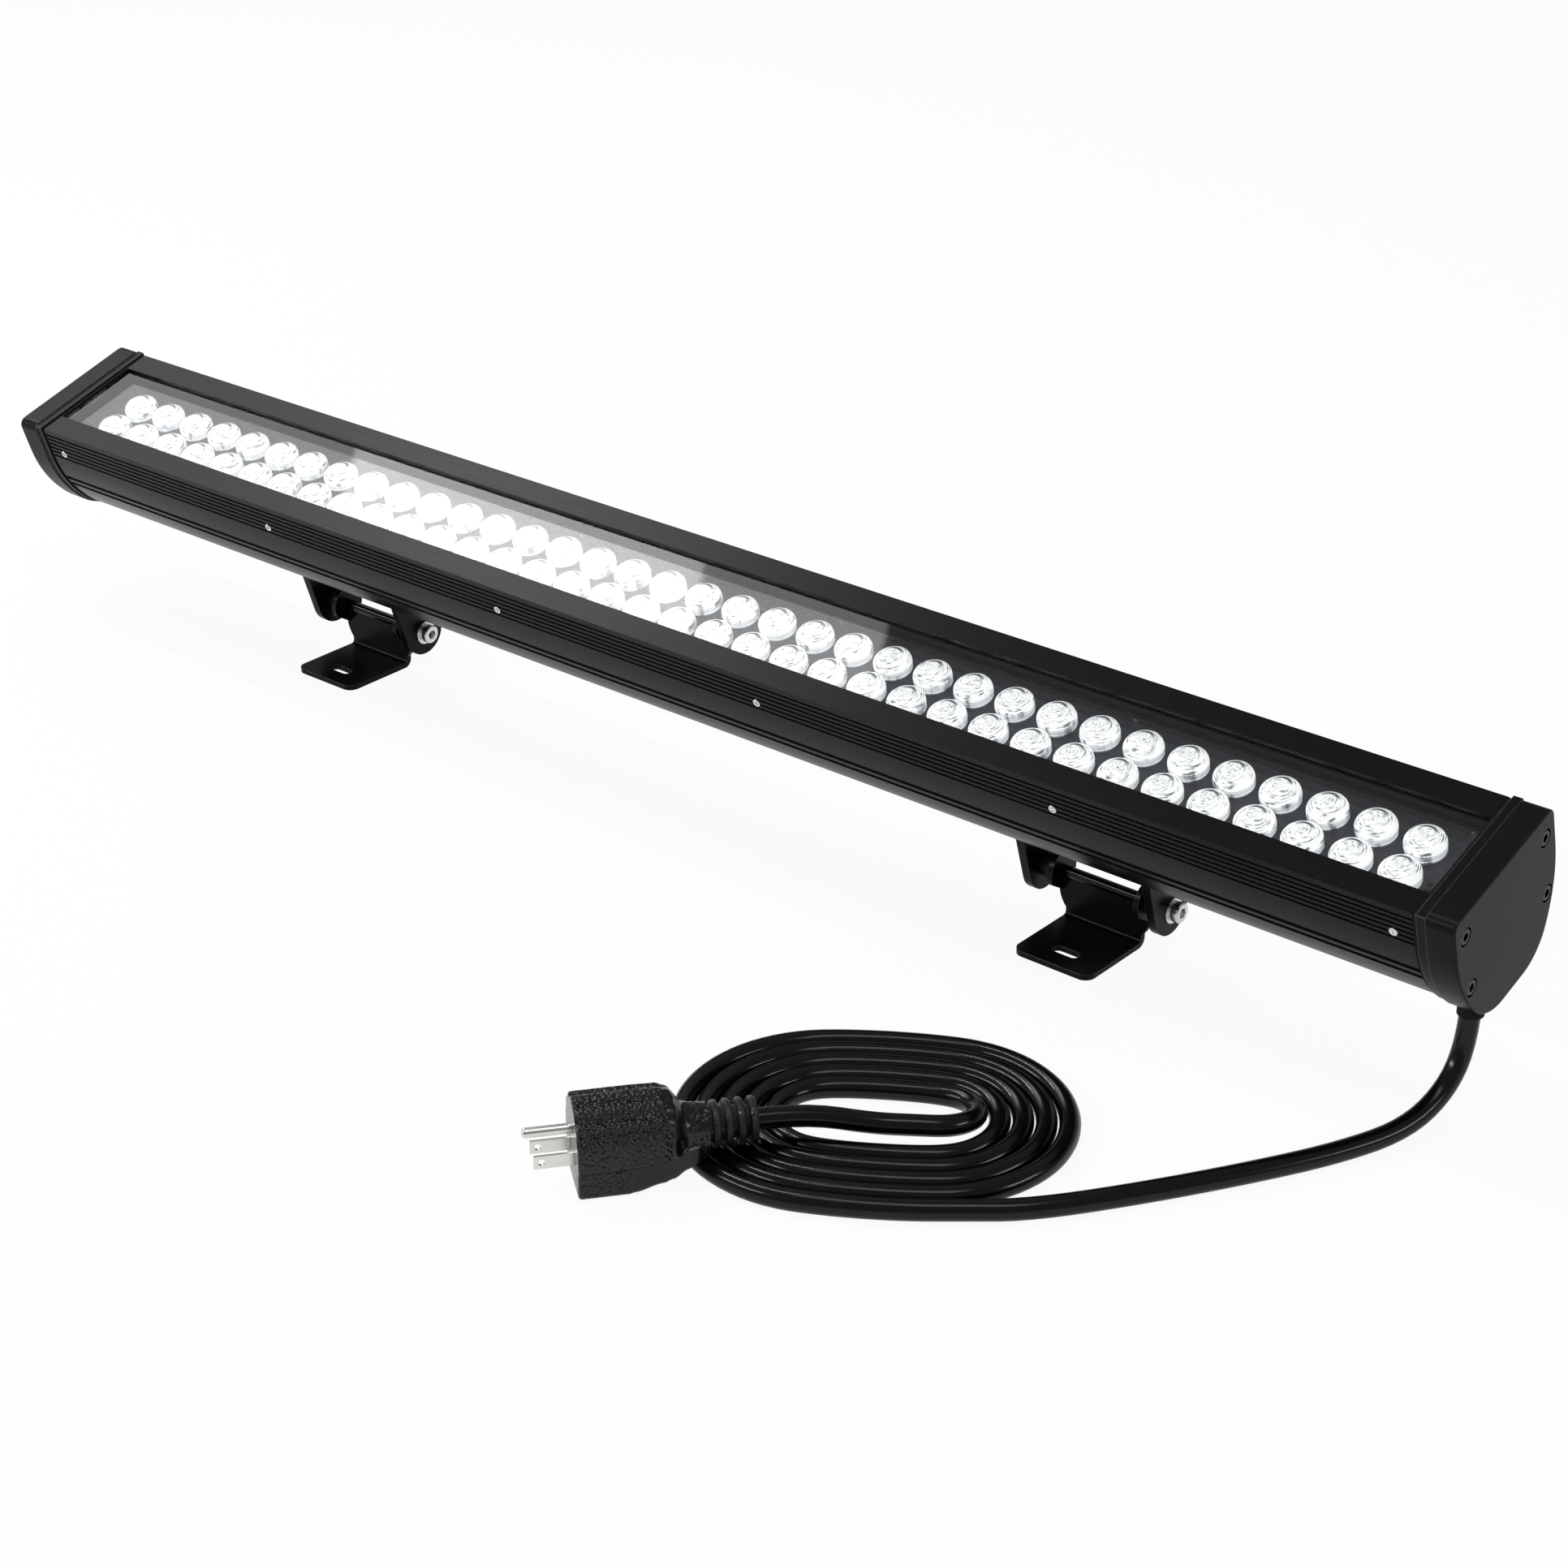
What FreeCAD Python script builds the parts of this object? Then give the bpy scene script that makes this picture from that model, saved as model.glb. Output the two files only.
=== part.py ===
"""An outdoor wall washer light: a one metre extruded bar with two rows of lensed LEDs behind glass,
cast end caps, two tilting foot brackets and a mains cord with a moulded three-pin plug.

The row frame has its origin midway between the two foot slots, on the surface that the feet are
bolted to. X runs along the bar towards the cord end, and Z is up. The bar and all that is fixed to
it are drawn upright above the pivot axis, and one placement tilts them towards the front.
"""

import FreeCAD, Part
import math
import os
import re

import Sketcher

Vector = FreeCAD.Vector
Placement = FreeCAD.Placement
Rotation = FreeCAD.Rotation
ALONG = Vector(1, 0, 0)
UP = Vector(0, 0, 1)

doc = FreeCAD.newDocument("wall_washer")

# Driving dimensions, in millimetres and degrees. Heights are above the pivot axis unless they say
# otherwise.
SIZES = {
    # Bar, measured over the end caps
    "bar_length": 1000,
    "tilt": 17.5,
    "cap_width": 90,
    "cap_top": 109,
    "cap_bottom": 33,
    "cap_thickness": 15,
    "cap_corner": 5,
    "cap_edge": 1,
    "flank_top": 87,
    "flank_radius": 74,
    "belly_radius": 27.8,
    "cap_proud": 1.8,
    "collar_depth": 5,
    "collar_inset": 0.9,
    "gasket_thickness": 2,
    # Window channel of the housing
    "window_width": 56,
    "lip_thickness": 2,
    "groove_width": 62.6,
    "glass_thickness": 4,
    "glass_play": 0.3,
    "seal_height": 2.5,
    "channel_width": 58,
    "web_top": 86,
    "web_thickness": 4,
    # Wiring chamber under the web
    "chamber_width": 56,
    "chamber_knee": 52,
    "chamber_floor": 39,
    "chamber_floor_width": 28,
    # Ribs and shadow grooves along the sides
    "rib_count": 6,
    "rib_pitch": 3,
    "rib_top": 103.2,
    "rib_groove": 1.4,
    "rib_depth": 1,
    "shadow_groove": 3,
    "shadow_depth": 1.4,
    "shadow_upper": 70,
    "shadow_lower": 64.5,
    # Cap pockets and screws
    "pocket_wall": 3,
    "pocket_width": 48,
    "pocket_floor": 42,
    "pocket_top": 78,
    "cap_screw_radius": 2.4,
    "cap_screw_reach": 15,
    "cap_head_radius": 4.25,
    "cap_head_length": 5,
    "head_play": 0.6,
    "hole_play": 0.15,
    "upper_screw_out": 36,
    "upper_screw_height": 96.3,
    "lower_screw_out": 34.5,
    "lower_screw_height": 63.5,
    # Small screws through the rails
    "side_screw_count": 6,
    "side_screw_inset": 11,
    "side_screw_height": 91.2,
    "side_screw_radius": 1.5,
    "side_head_radius": 2.3,
    "side_head_length": 1.4,
    # Optics
    "lens_count": 36,
    "lens_inset": 25.625,
    "row_spacing": 22.7,
    "lens_radius": 10,
    "lens_foot_radius": 6.5,
    "lens_rim": 6.7,
    "lens_dome": 3.6,
    "lens_hollow_radius": 3.4,
    "lens_hollow_height": 2,
    "panel_thickness": 2,
    "panel_top": 90.5,
    "panel_play": 0.3,
    "board_width": 52,
    "board_inset": 17,
    "board_thickness": 1.6,
    "chip_length": 3.5,
    "chip_width": 2.8,
    "chip_height": 0.7,
    "panel_screw_inset": 11,
    "panel_screw_out": 10.4,
    "panel_screw_radius": 1.5,
    "panel_head_radius": 2.75,
    "panel_head_length": 2,
    # Driver and leads
    "driver_length": 230,
    "driver_width": 44,
    "driver_height": 30,
    "output_drop": 12,
    "output_along": 150,
    "output_diameter": 5,
    "output_hole_radius": 4,
    "mains_lead_diameter": 7,
    "mains_lead_height": 80,
    # Brackets
    "bracket_spacing": 534,
    "pivot_height": 28.5,
    "pivot_behind_slots": 31.6,
    "saddle_width": 82,
    "saddle_ear": 5,
    "saddle_plate": 4,
    "saddle_plate_width": 108,
    "saddle_half_depth": 14,
    "saddle_screw_spacing": 96,
    "saddle_screw_radius": 2.4,
    "saddle_head_radius": 4.5,
    "saddle_head_length": 2.8,
    "foot_thickness": 3,
    "foot_width": 47,
    "foot_front": 46,
    "foot_corner": 6,
    "bend_radius": 2,
    "slot_length": 16,
    "slot_width": 6.5,
    "upright_behind": 1,
    "upright_width": 56,
    "upright_drop": 3.5,
    "flare_start": 7,
    "flare_end": 20,
    "flare_radius": 17,
    "ear_radius": 11,
    "ear_root": 12,
    "pivot_radius": 3,
    "pivot_play": 0.05,
    "bolt_head_radius": 5.4,
    "bolt_head_length": 5,
    "nut_across": 10,
    "nut_length": 5,
    "washer_radius": 7,
    "washer_thickness": 1.4,
    "spacer_radius": 6.5,
    "spacer_play": 0.05,
    # Cord and plug
    "cord_diameter": 10.2,
    "cord_exit_inset": 9,
    "cord_exit_front": 32,
    "cord_top": 62,
    "bush_wall": 1.25,
    "bush_bottom": 53,
    "bush_top": 70,
    "coil_turns": 5,
    "coil_pitch": 10.7,
    "coil_inner_radius": 21,
    "coil_centre_offset": 23,
    "coil_heading": 40,
    "coil_along": 293.6,
    "coil_front": 215.4,
    "coil_climb": 12,
    "plug_heading": 232,
    "plug_axis_height": 22,
    "relief_length": 23,
    "relief_radius": 11.2,
    "relief_ribs": 4,
    "relief_groove_depth": 2.2,
    "plug_length": 84,
    "plug_width": 38,
    "plug_height": 44,
    "plug_corner": 3,
    "neck_end": 34,
    "taper_end": 47,
    "blade_length": 18.2,
    "blade_rise": 16,
    "blade_width": 6.35,
    "blade_thickness": 1.5,
    "blade_spacing": 12.7,
    "blade_hole_radius": 1.6,
    "ground_radius": 2.4,
    "ground_length": 22.5,
    "ground_spacing": 11.9,
}

sheet = doc.addObject("Spreadsheet::Sheet", "Sizes")
for row, (name, size) in enumerate(SIZES.items(), start=1):
    sheet.set(f"A{row}", name)
    sheet.set(f"B{row}", str(size))
    sheet.setAlias(f"B{row}", name)
doc.recompute()


def formula(text):
    """A formula in the sheet's names, written as an expression that any object can hold."""

    def full_name(word):
        name = word.group()
        return f"Sizes.{name}" if name in SIZES else name

    return re.sub(r"[a-z][a-z_]*[a-z]", full_name, text)


def size(text):
    """What a formula in the sheet's names comes to, in millimetres, degrees or a count."""
    found = probe.evalExpression(formula(text))
    return float(getattr(found, "Value", found))


probe = doc.addObject("App::FeaturePython", "Probe")

# Formulas that several pieces share
HOUSING_LENGTH = "(bar_length - 2 * (cap_thickness + collar_depth + gasket_thickness))"
HOUSING_TOP = "(cap_top - cap_proud)"
HOUSING_BOTTOM = "(cap_bottom + cap_proud)"
GLASS_TOP = f"({HOUSING_TOP} - lip_thickness)"
SEAL_TOP = f"({GLASS_TOP} - glass_thickness)"
LEDGE = f"({SEAL_TOP} - seal_height)"
WEB_BOTTOM = "(web_top - web_thickness)"
BOARD_TOP = "(web_top + board_thickness)"
BOARD_LENGTH = f"({HOUSING_LENGTH} - 2 * board_inset)"
PANEL_SCREW_ALONG = f"({HOUSING_LENGTH} / 2 - panel_screw_inset)"
CORD_ALONG = "(bar_length / 2 - cord_exit_inset)"
HALF_CIRCLES = ("level", "upright")


def bind(thing, **formulas):
    """Ties an object's properties to formulas in the sheet's names."""
    for path, text in formulas.items():
        thing.setExpression(path.replace("__", "."), formula(text))


def add(kind, label, **formulas):
    """A primitive or a boolean with its sizes tied to the sheet."""
    thing = doc.addObject(kind, label)
    thing.Label = label
    bind(thing, **formulas)
    return thing


def on_the_bar(thing, turned=False):
    """Places a piece that is drawn upright above the pivot axis on the tilted bar."""
    rest = Placement(Vector(), Rotation(ALONG, size("tilt")))
    if turned:
        rest = rest.multiply(Placement(Vector(), Rotation(UP, 180)))
    rest.Base = Vector(0, size("pivot_behind_slots"), size("pivot_height"))
    thing.Placement = rest
    bind(thing, Placement__Base__y="pivot_behind_slots", Placement__Base__z="pivot_height")
    if not turned:
        bind(thing, Placement__Rotation__Angle="tilt * 1 deg")
    return thing


def at_foot(thing, side):
    """Places a piece that is drawn about one pivot, on the left (-1) or right (1) bracket."""
    thing.Placement.Base = Vector(
        side * size("bracket_spacing / 2"), size("pivot_behind_slots"), size("pivot_height")
    )
    bind(
        thing,
        Placement__Base__x=f"{side} * bracket_spacing / 2",
        Placement__Base__y="pivot_behind_slots",
        Placement__Base__z="pivot_height",
    )
    return thing


def outline(sketch, corners):
    """Draws one closed outline. A corner is (x, y), or (x, y, radius, side) where the edge to the
    next corner is an arc that bulges to the left (1) or right (-1) of the way there. A half circle
    gives "level" or "upright", the way its two ends lie, instead of a radius."""
    first = sketch.GeometryCount
    places = [Vector(size(corner[0]), size(corner[1]), 0) for corner in corners]
    edges = []
    for here, there, corner in zip(places, places[1:] + places[:1], corners):
        if len(corner) == 2:
            edges.append(Part.LineSegment(here, there))
            continue
        half = (there - here) * 0.5
        radius = half.Length if corner[2] in HALF_CIRCLES else size(corner[2])
        across = Vector(-half.y, half.x, 0).normalize() * corner[3]
        rise = radius - math.sqrt(max(radius**2 - half.Length**2, 0))
        edges.append(Part.Arc(here, here + half + across * rise, there))
    sketch.addGeometry(edges, False)
    ties = []
    for number, corner in enumerate(corners):
        edge = first + number
        before = first + (number - 1) % len(corners)
        start, end = 1, 2
        if len(corner) > 2 and corner[3] > 0:
            start, end = 2, 1
        previous = corners[number - 1]
        last = 1 if len(previous) > 2 and previous[3] > 0 else 2
        ties.append((Sketcher.Constraint("Coincident", before, last, edge, start), None))
        ties.append((Sketcher.Constraint("DistanceX", edge, start, places[number].x), corner[0]))
        ties.append((Sketcher.Constraint("DistanceY", edge, start, places[number].y), corner[1]))
        if len(corner) > 2 and corner[2] == "level":
            ties.append((Sketcher.Constraint("DistanceY", edge, 3, places[number].y), corner[1]))
        elif len(corner) > 2 and corner[2] == "upright":
            ties.append((Sketcher.Constraint("DistanceX", edge, 3, places[number].x), corner[0]))
        elif len(corner) > 2:
            ties.append((Sketcher.Constraint("Radius", edge, size(corner[2])), corner[2]))
    hold(sketch, ties)


def circle(sketch, x, y, radius):
    """Draws one circle about (x, y)."""
    place = Vector(size(x), size(y), 0)
    edge = sketch.addGeometry(Part.Circle(place, UP, size(radius)), False)
    hold(
        sketch,
        [
            (Sketcher.Constraint("DistanceX", edge, 3, place.x), x),
            (Sketcher.Constraint("DistanceY", edge, 3, place.y), y),
            (Sketcher.Constraint("Radius", edge, size(radius)), radius),
        ],
    )


def hold(sketch, ties):
    """Adds constraints and ties each one that has a size to its formula."""
    for constraint, text in ties:
        number = sketch.addConstraint(constraint)
        if text is not None:
            sketch.setExpression(f"Constraints[{number}]", formula(text))


def rectangle(sketch, left, right, bottom, top):
    """Draws a rectangle from its four sides."""
    outline(sketch, [(left, bottom), (right, bottom), (right, top), (left, top)])


def new_body(label):
    body = doc.addObject("PartDesign::Body", label)
    body.Label = label
    return body


def new_sketch(body, plane):
    """A sketch on one of the body's own origin planes."""
    sketch = body.newObject("Sketcher::SketchObject", f"{body.Label}_sketch")
    origin = next(face for face in body.Origin.OriginFeatures if face.Role == plane)
    sketch.AttachmentSupport = [(origin, "")]
    sketch.MapMode = "FlatFace"
    return sketch


def pad(body, sketch, length, start="0", middle=False, back=False):
    """Adds the sketch's outline as a slab, from start or about its own plane."""
    slab = body.newObject("PartDesign::Pad", f"{body.Label}_pad")
    slab.Profile = sketch
    slab.Midplane = middle
    slab.Reversed = back
    bind(slab, Length=length)
    sketch.AttachmentOffset = Placement(Vector(0, 0, size(start)), Rotation())
    bind(sketch, AttachmentOffset__Base__z=start)
    return slab


def cut_through(body, sketch):
    """Cuts the sketch's outline right through the body, both ways."""
    before = solid_volume(body)
    slot = body.newObject("PartDesign::Pocket", f"{body.Label}_cut")
    slot.Profile = sketch
    slot.Midplane = True
    slot.Type = "ThroughAll"
    doc.recompute()
    assert body.Shape.Volume < before, f"{slot.Name} cuts nothing"
    return slot


def cut_deep(body, sketch, length, start="0", back=False):
    """Cuts the sketch's outline to one depth, from start."""
    before = solid_volume(body)
    slot = body.newObject("PartDesign::Pocket", f"{body.Label}_cut")
    slot.Profile = sketch
    slot.Reversed = back
    bind(slot, Length=length)
    sketch.AttachmentOffset = Placement(Vector(0, 0, size(start)), Rotation())
    bind(sketch, AttachmentOffset__Base__z=start)
    doc.recompute()
    assert body.Shape.Volume < before, f"{slot.Name} cuts nothing"
    return slot


def solid_volume(body):
    doc.recompute()
    return body.Shape.Volume


def shaped(label, shape, place=None):
    """A piece whose shape is worked out here from the sheet's sizes."""
    piece = doc.addObject("Part::Feature", label)
    piece.Label = label
    piece.Shape = shape
    if place:
        piece.Placement = place
    return piece


def bar_place():
    return Placement(
        Vector(0, size("pivot_behind_slots"), size("pivot_height")),
        Rotation(ALONG, size("tilt")),
    )


# The cross-section that the caps and the housing share: flat top, straight sides, flanks that
# curve in, and a belly arc tangent to both the flank and the flat bottom.
BELLY_RISE = "(flank_top - cap_bottom - belly_radius)"
FLANK_CENTRE = "(cap_width / 2 - flank_radius)"
BELLY_CENTRE = f"({FLANK_CENTRE} + sqrt((flank_radius - belly_radius)^2 - {BELLY_RISE}^2))"
LEAN = f"({BELLY_RISE} / (flank_radius - belly_radius))"
LEAN_ACROSS = f"sqrt(1 - {LEAN}^2)"


def section(sketch, inset, corner):
    """Draws that section, set in all round, with its two top corners rounded or sharp (None)."""
    half = f"(cap_width / 2 - {inset})"
    top = f"(cap_top - {inset})"
    bottom = f"(cap_bottom + {inset})"
    flank = f"(flank_radius - {inset})"
    belly = f"(belly_radius - {inset})"
    knee_out = f"({FLANK_CENTRE} + {flank} * {LEAN_ACROSS})"
    knee_up = f"(flank_top - {flank} * {LEAN})"
    corners = [
        (f"-{BELLY_CENTRE}", bottom),
        (BELLY_CENTRE, bottom, belly, -1),
        (knee_out, knee_up, flank, -1),
        (half, "flank_top"),
    ]
    if corner is None:
        corners += [(half, top), (f"-{half}", top)]
    else:
        corners += [
            (half, f"({top} - {corner})", corner, -1),
            (f"({half} - {corner})", top),
            (f"-({half} - {corner})", top, corner, -1),
            (f"-{half}", f"({top} - {corner})"),
        ]
    corners += [
        (f"-{half}", "flank_top", flank, -1),
        (f"-{knee_out}", knee_up, belly, -1),
    ]
    outline(sketch, corners)


# Housing: the extrusion, with its window channel, wiring chamber, screw channels, side ribs and
# the holes for the side, panel and saddle screws.
def housing():
    body = new_body("housing_extrusion")
    sketch = new_sketch(body, "YZ_Plane")
    section(sketch, "cap_proud", None)
    pad(body, sketch, HOUSING_LENGTH, middle=True)

    sketch = new_sketch(body, "YZ_Plane")
    over = f"({HOUSING_TOP} + 1)"
    window, groove, channel = "(window_width / 2)", "(groove_width / 2)", "(channel_width / 2)"
    right = [
        (channel, "web_top"),
        (channel, LEDGE),
        (groove, LEDGE),
        (groove, GLASS_TOP),
        (window, GLASS_TOP),
        (window, over),
    ]
    left = [(f"-{out}", height) for out, height in reversed(right)]
    outline(sketch, right + left)
    cut_through(body, sketch)

    sketch = new_sketch(body, "YZ_Plane")
    right = [
        ("(chamber_floor_width / 2)", "chamber_floor"),
        ("(chamber_width / 2)", "chamber_knee"),
        ("(chamber_width / 2)", WEB_BOTTOM),
    ]
    left = [(f"-{out}", height) for out, height in reversed(right)]
    outline(sketch, right + left)
    for side in ("", "-"):
        for place in ("upper", "lower"):
            across, height = f"{side}{place}_screw_out", f"{place}_screw_height"
            circle(sketch, across, height, "cap_screw_radius + hole_play")
    cut_through(body, sketch)

    sketch = new_sketch(body, "YZ_Plane")
    outside = "(cap_width / 2)"
    for side in ("", "-"):
        near, far = (f"{side}({outside} - cap_proud - rib_depth)", f"{side}{outside}")
        for rib in range(int(size("rib_count"))):
            middle = f"(rib_top - {rib} * rib_pitch)"
            band(sketch, near, far, middle, "rib_groove")
        for height in ("shadow_upper", "shadow_lower"):
            flank = f"sqrt((flank_radius - cap_proud)^2 - (flank_top - {height})^2)"
            near = f"{side}({FLANK_CENTRE} + {flank} - shadow_depth)"
            band(sketch, near, far, height, "shadow_groove")
    cut_through(body, sketch)

    sketch = new_sketch(body, "XZ_Plane")
    for along in side_screw_places():
        circle(sketch, along, "side_screw_height", "side_screw_radius + hole_play")
    cut_through(body, sketch)
    for back in (True, False):
        sketch = new_sketch(body, "XZ_Plane")
        for along in side_screw_places():
            circle(sketch, along, "side_screw_height", "side_head_radius + hole_play")
        seat = "(cap_width / 2 - cap_proud - side_head_length)"
        start = f"-{seat}" if back else seat
        cut_deep(body, sketch, "side_head_length + cap_proud", start, back=not back)

    sketch = new_sketch(body, "XY_Plane")
    for along, across in panel_screw_places():
        circle(sketch, along, across, "panel_screw_radius + hole_play")
    circle(sketch, "-output_along", "0", "output_hole_radius")
    cut_deep(body, sketch, "web_thickness + 2", f"{WEB_BOTTOM} - 1", back=True)
    sketch = new_sketch(body, "XY_Plane")
    for bracket in ("-", ""):
        for end in ("-", "+"):
            along = f"{bracket}bracket_spacing / 2 {end} saddle_screw_spacing / 2"
            circle(sketch, along, "0", "saddle_screw_radius + hole_play")
    cut_deep(body, sketch, f"chamber_floor - {HOUSING_BOTTOM} + 2", f"{HOUSING_BOTTOM} - 1", back=True)
    return on_the_bar(body)


def band(sketch, near, far, middle, width):
    """Draws a groove's rectangle between two distances out, about a height."""
    outline(
        sketch,
        [
            (near, f"{middle} - {width} / 2"),
            (far, f"{middle} - {width} / 2"),
            (far, f"{middle} + {width} / 2"),
            (near, f"{middle} + {width} / 2"),
        ],
    )


def side_screw_places():
    """Places along the bar, evenly spaced between its ends."""
    count = int(size("side_screw_count"))
    half = f"({HOUSING_LENGTH} / 2 - side_screw_inset)"
    return [f"({half} * ({2 * number} / {count - 1} - 1))" for number in range(count)]


def panel_screw_places():
    """One screw at each end of the lens panel, beside the last lenses."""
    return [(PANEL_SCREW_ALONG, "-panel_screw_out"), (f"-{PANEL_SCREW_ALONG}", "panel_screw_out")]


# End caps: cast plates with a collar that enters the gasket's outline, a pocket for the leads and
# four counterbored holes. The right one is bored for the cord.
def end_cap(label, turned):
    body = new_body(label)
    outer = "(bar_length / 2)"
    inner = "(bar_length / 2 - cap_thickness)"
    sketch = new_sketch(body, "YZ_Plane")
    section(sketch, "0", "cap_corner")
    slab = pad(body, sketch, "cap_thickness", inner)
    doc.recompute()
    rim = [
        f"Edge{number}"
        for number, edge in enumerate(slab.Shape.Edges, start=1)
        if all(abs(point.Point.x - size(outer)) < 1e-6 for point in edge.Vertexes)
    ]
    rounded = body.newObject("PartDesign::Fillet", f"{label}_rim")
    rounded.Base = (slab, rim)
    bind(rounded, Radius="cap_edge")
    doc.recompute()

    sketch = new_sketch(body, "YZ_Plane")
    section(sketch, "collar_inset", None)
    pad(body, sketch, "collar_depth", inner, back=True)
    doc.recompute()

    sketch = new_sketch(body, "YZ_Plane")
    rectangle(sketch, "-pocket_width / 2", "pocket_width / 2", "pocket_floor", "pocket_top")
    depth = "cap_thickness + collar_depth - pocket_wall"
    cut_deep(body, sketch, depth, f"{inner} - collar_depth", back=True)
    cap_holes(body)
    sketch = new_sketch(body, "YZ_Plane")
    for across, height in cap_screw_places():
        circle(sketch, across, height, "cap_head_radius + head_play")
    cut_deep(body, sketch, "cap_head_length + hole_play", outer)
    return on_the_bar(body, turned)


def cap_screw_places():
    places = []
    for side in ("", "-"):
        places.append((f"{side}upper_screw_out", "upper_screw_height"))
        places.append((f"{side}lower_screw_out", "lower_screw_height"))
    return places


def cap_holes(body):
    """Cuts the four clearance holes for the cap screws through a cap or a gasket."""
    sketch = new_sketch(body, "YZ_Plane")
    for across, height in cap_screw_places():
        circle(sketch, across, height, "cap_screw_radius + 2 * hole_play")
    cut_through(body, sketch)


def end_gasket(label, turned):
    body = new_body(label)
    sketch = new_sketch(body, "YZ_Plane")
    section(sketch, "(cap_proud + hole_play)", None)
    pad(body, sketch, "gasket_thickness", f"{HOUSING_LENGTH} / 2")
    doc.recompute()
    sketch = new_sketch(body, "YZ_Plane")
    rectangle(sketch, "-pocket_width / 2", "pocket_width / 2", "pocket_floor", "pocket_top")
    cut_through(body, sketch)
    cap_holes(body)
    return on_the_bar(body, turned)


# Screws, drawn along +Z from under the head: a shank, a round head and a hexagon socket.
def socket_screw(shank_radius, shank_length, head_radius, head_length, socket_across, socket_depth):
    shank = Part.makeCylinder(shank_radius, shank_length, Vector(0, 0, -shank_length))
    head = Part.makeCylinder(head_radius, head_length)
    rim = [edge for edge in head.Edges if abs(edge.BoundBox.ZMin - head_length) < 1e-6]
    head = head.makeChamfer(head_length * 0.12, rim)
    corner = socket_across / math.sqrt(3)
    ring = [
        Vector(corner * math.cos(math.radians(60 * k)), corner * math.sin(math.radians(60 * k)), 0)
        for k in range(7)
    ]
    socket = Part.Face(Part.makePolygon(ring)).extrude(UP * socket_depth)
    socket.translate(UP * (head_length - socket_depth))
    return shank.fuse(head).removeSplitter().cut(socket)


def copies(shape, places):
    """One compound of a shape at each placement."""
    moved = []
    for place in places:
        one = shape.copy()
        one.Placement = place.multiply(one.Placement)
        moved.append(one)
    return Part.makeCompound(moved)


def cap_screws(label, side):
    seat = size("bar_length / 2 - cap_head_length - hole_play")
    shank = seat - size(f"{HOUSING_LENGTH} / 2 - cap_screw_reach")
    screw = socket_screw(
        size("cap_screw_radius"), shank, size("cap_head_radius"), size("cap_head_length"), 4, 2.6
    )
    turn = Rotation(UP, ALONG * side)
    places = [
        Placement(Vector(side * seat, size(across), size(height)), turn)
        for across, height in cap_screw_places()
    ]
    return shaped(label, copies(screw, places), bar_place())


def side_screws(label, side):
    """The small screws whose tips come up to the lens panel's wall."""
    seat = size("cap_width / 2 - cap_proud - side_head_length")
    shank = seat - size("channel_width / 2")
    screw = socket_screw(
        size("side_screw_radius"), shank, size("side_head_radius"), size("side_head_length"), 2, 1
    )
    turn = Rotation(UP, Vector(0, side, 0))
    places = [
        Placement(Vector(size(along), side * seat, size("side_screw_height")), turn)
        for along in side_screw_places()
    ]
    return shaped(label, copies(screw, places), bar_place())


def panel_screws():
    shank = size(f"panel_top - {WEB_BOTTOM}")
    screw = socket_screw(
        size("panel_screw_radius"), shank, size("panel_head_radius"), size("panel_head_length"), 2.5, 1.2
    )
    places = [
        Placement(Vector(size(along), size(across), size("panel_top")), Rotation())
        for along, across in panel_screw_places()
    ]
    return shaped("panel_screws", copies(screw, places), bar_place())


# Window: the glass lies under the rail lips on two rubber strips.
def glass_and_seals():
    half = "(groove_width / 2 - glass_play)"
    body = new_body("window_glass")
    sketch = new_sketch(body, "YZ_Plane")
    rectangle(sketch, f"-{half}", half, SEAL_TOP, GLASS_TOP)
    pad(body, sketch, f"{HOUSING_LENGTH} - 2 * glass_play", middle=True)
    made = [on_the_bar(body)]
    for label, side in (("front_glass_seal", "-"), ("rear_glass_seal", "")):
        body = new_body(label)
        sketch = new_sketch(body, "YZ_Plane")
        near, far = f"{side}channel_width / 2", f"{side}{half}"
        rectangle(sketch, near, far, LEDGE, SEAL_TOP)
        pad(body, sketch, f"{HOUSING_LENGTH} - 2 * glass_play", middle=True)
        made.append(on_the_bar(body))
    return made


# Optics: the panel is an upside-down tray that stands on the web, over the LED board, with a hole
# for each lens.
def lens_places():
    """The lens centres of one row, from the left."""
    count = int(size("lens_count"))
    half = size(f"{HOUSING_LENGTH} / 2 - lens_inset")
    return [half * (2 * number / (count - 1) - 1) for number in range(count)]


def lens_panel():
    tray = new_body("panel_tray")
    sketch = new_sketch(tray, "YZ_Plane")
    out = "(channel_width / 2 - panel_play)"
    inner = f"({out} - panel_thickness)"
    outline(
        sketch,
        [
            (f"-{out}", "web_top"),
            (f"-{inner}", "web_top"),
            (f"-{inner}", "panel_top - panel_thickness"),
            (inner, "panel_top - panel_thickness"),
            (inner, "web_top"),
            (out, "web_top"),
            (out, "panel_top"),
            (f"-{out}", "panel_top"),
        ],
    )
    pad(tray, sketch, f"{HOUSING_LENGTH} - 4 * panel_play", middle=True)
    drill = Part.makeCylinder(size("lens_radius + panel_play"), size("panel_thickness + 2"))
    height = size("panel_top - panel_thickness - 1")
    places = [
        Placement(Vector(along, side * size("row_spacing / 2"), height), Rotation())
        for side in (-1, 1)
        for along in lens_places()
    ]
    screw_drill = Part.makeCylinder(size("panel_screw_radius + hole_play"), size("panel_thickness + 2"))
    screw_places = [
        Placement(Vector(size(along), size(across), height), Rotation())
        for along, across in panel_screw_places()
    ]
    holes = copies(drill, places).Solids + copies(screw_drill, screw_places).Solids
    drills = shaped("panel_drills", Part.makeCompound(holes))
    panel = add("Part::Cut", "lens_panel")
    panel.Base = tray
    panel.Tool = drills
    return on_the_bar(panel)


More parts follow.
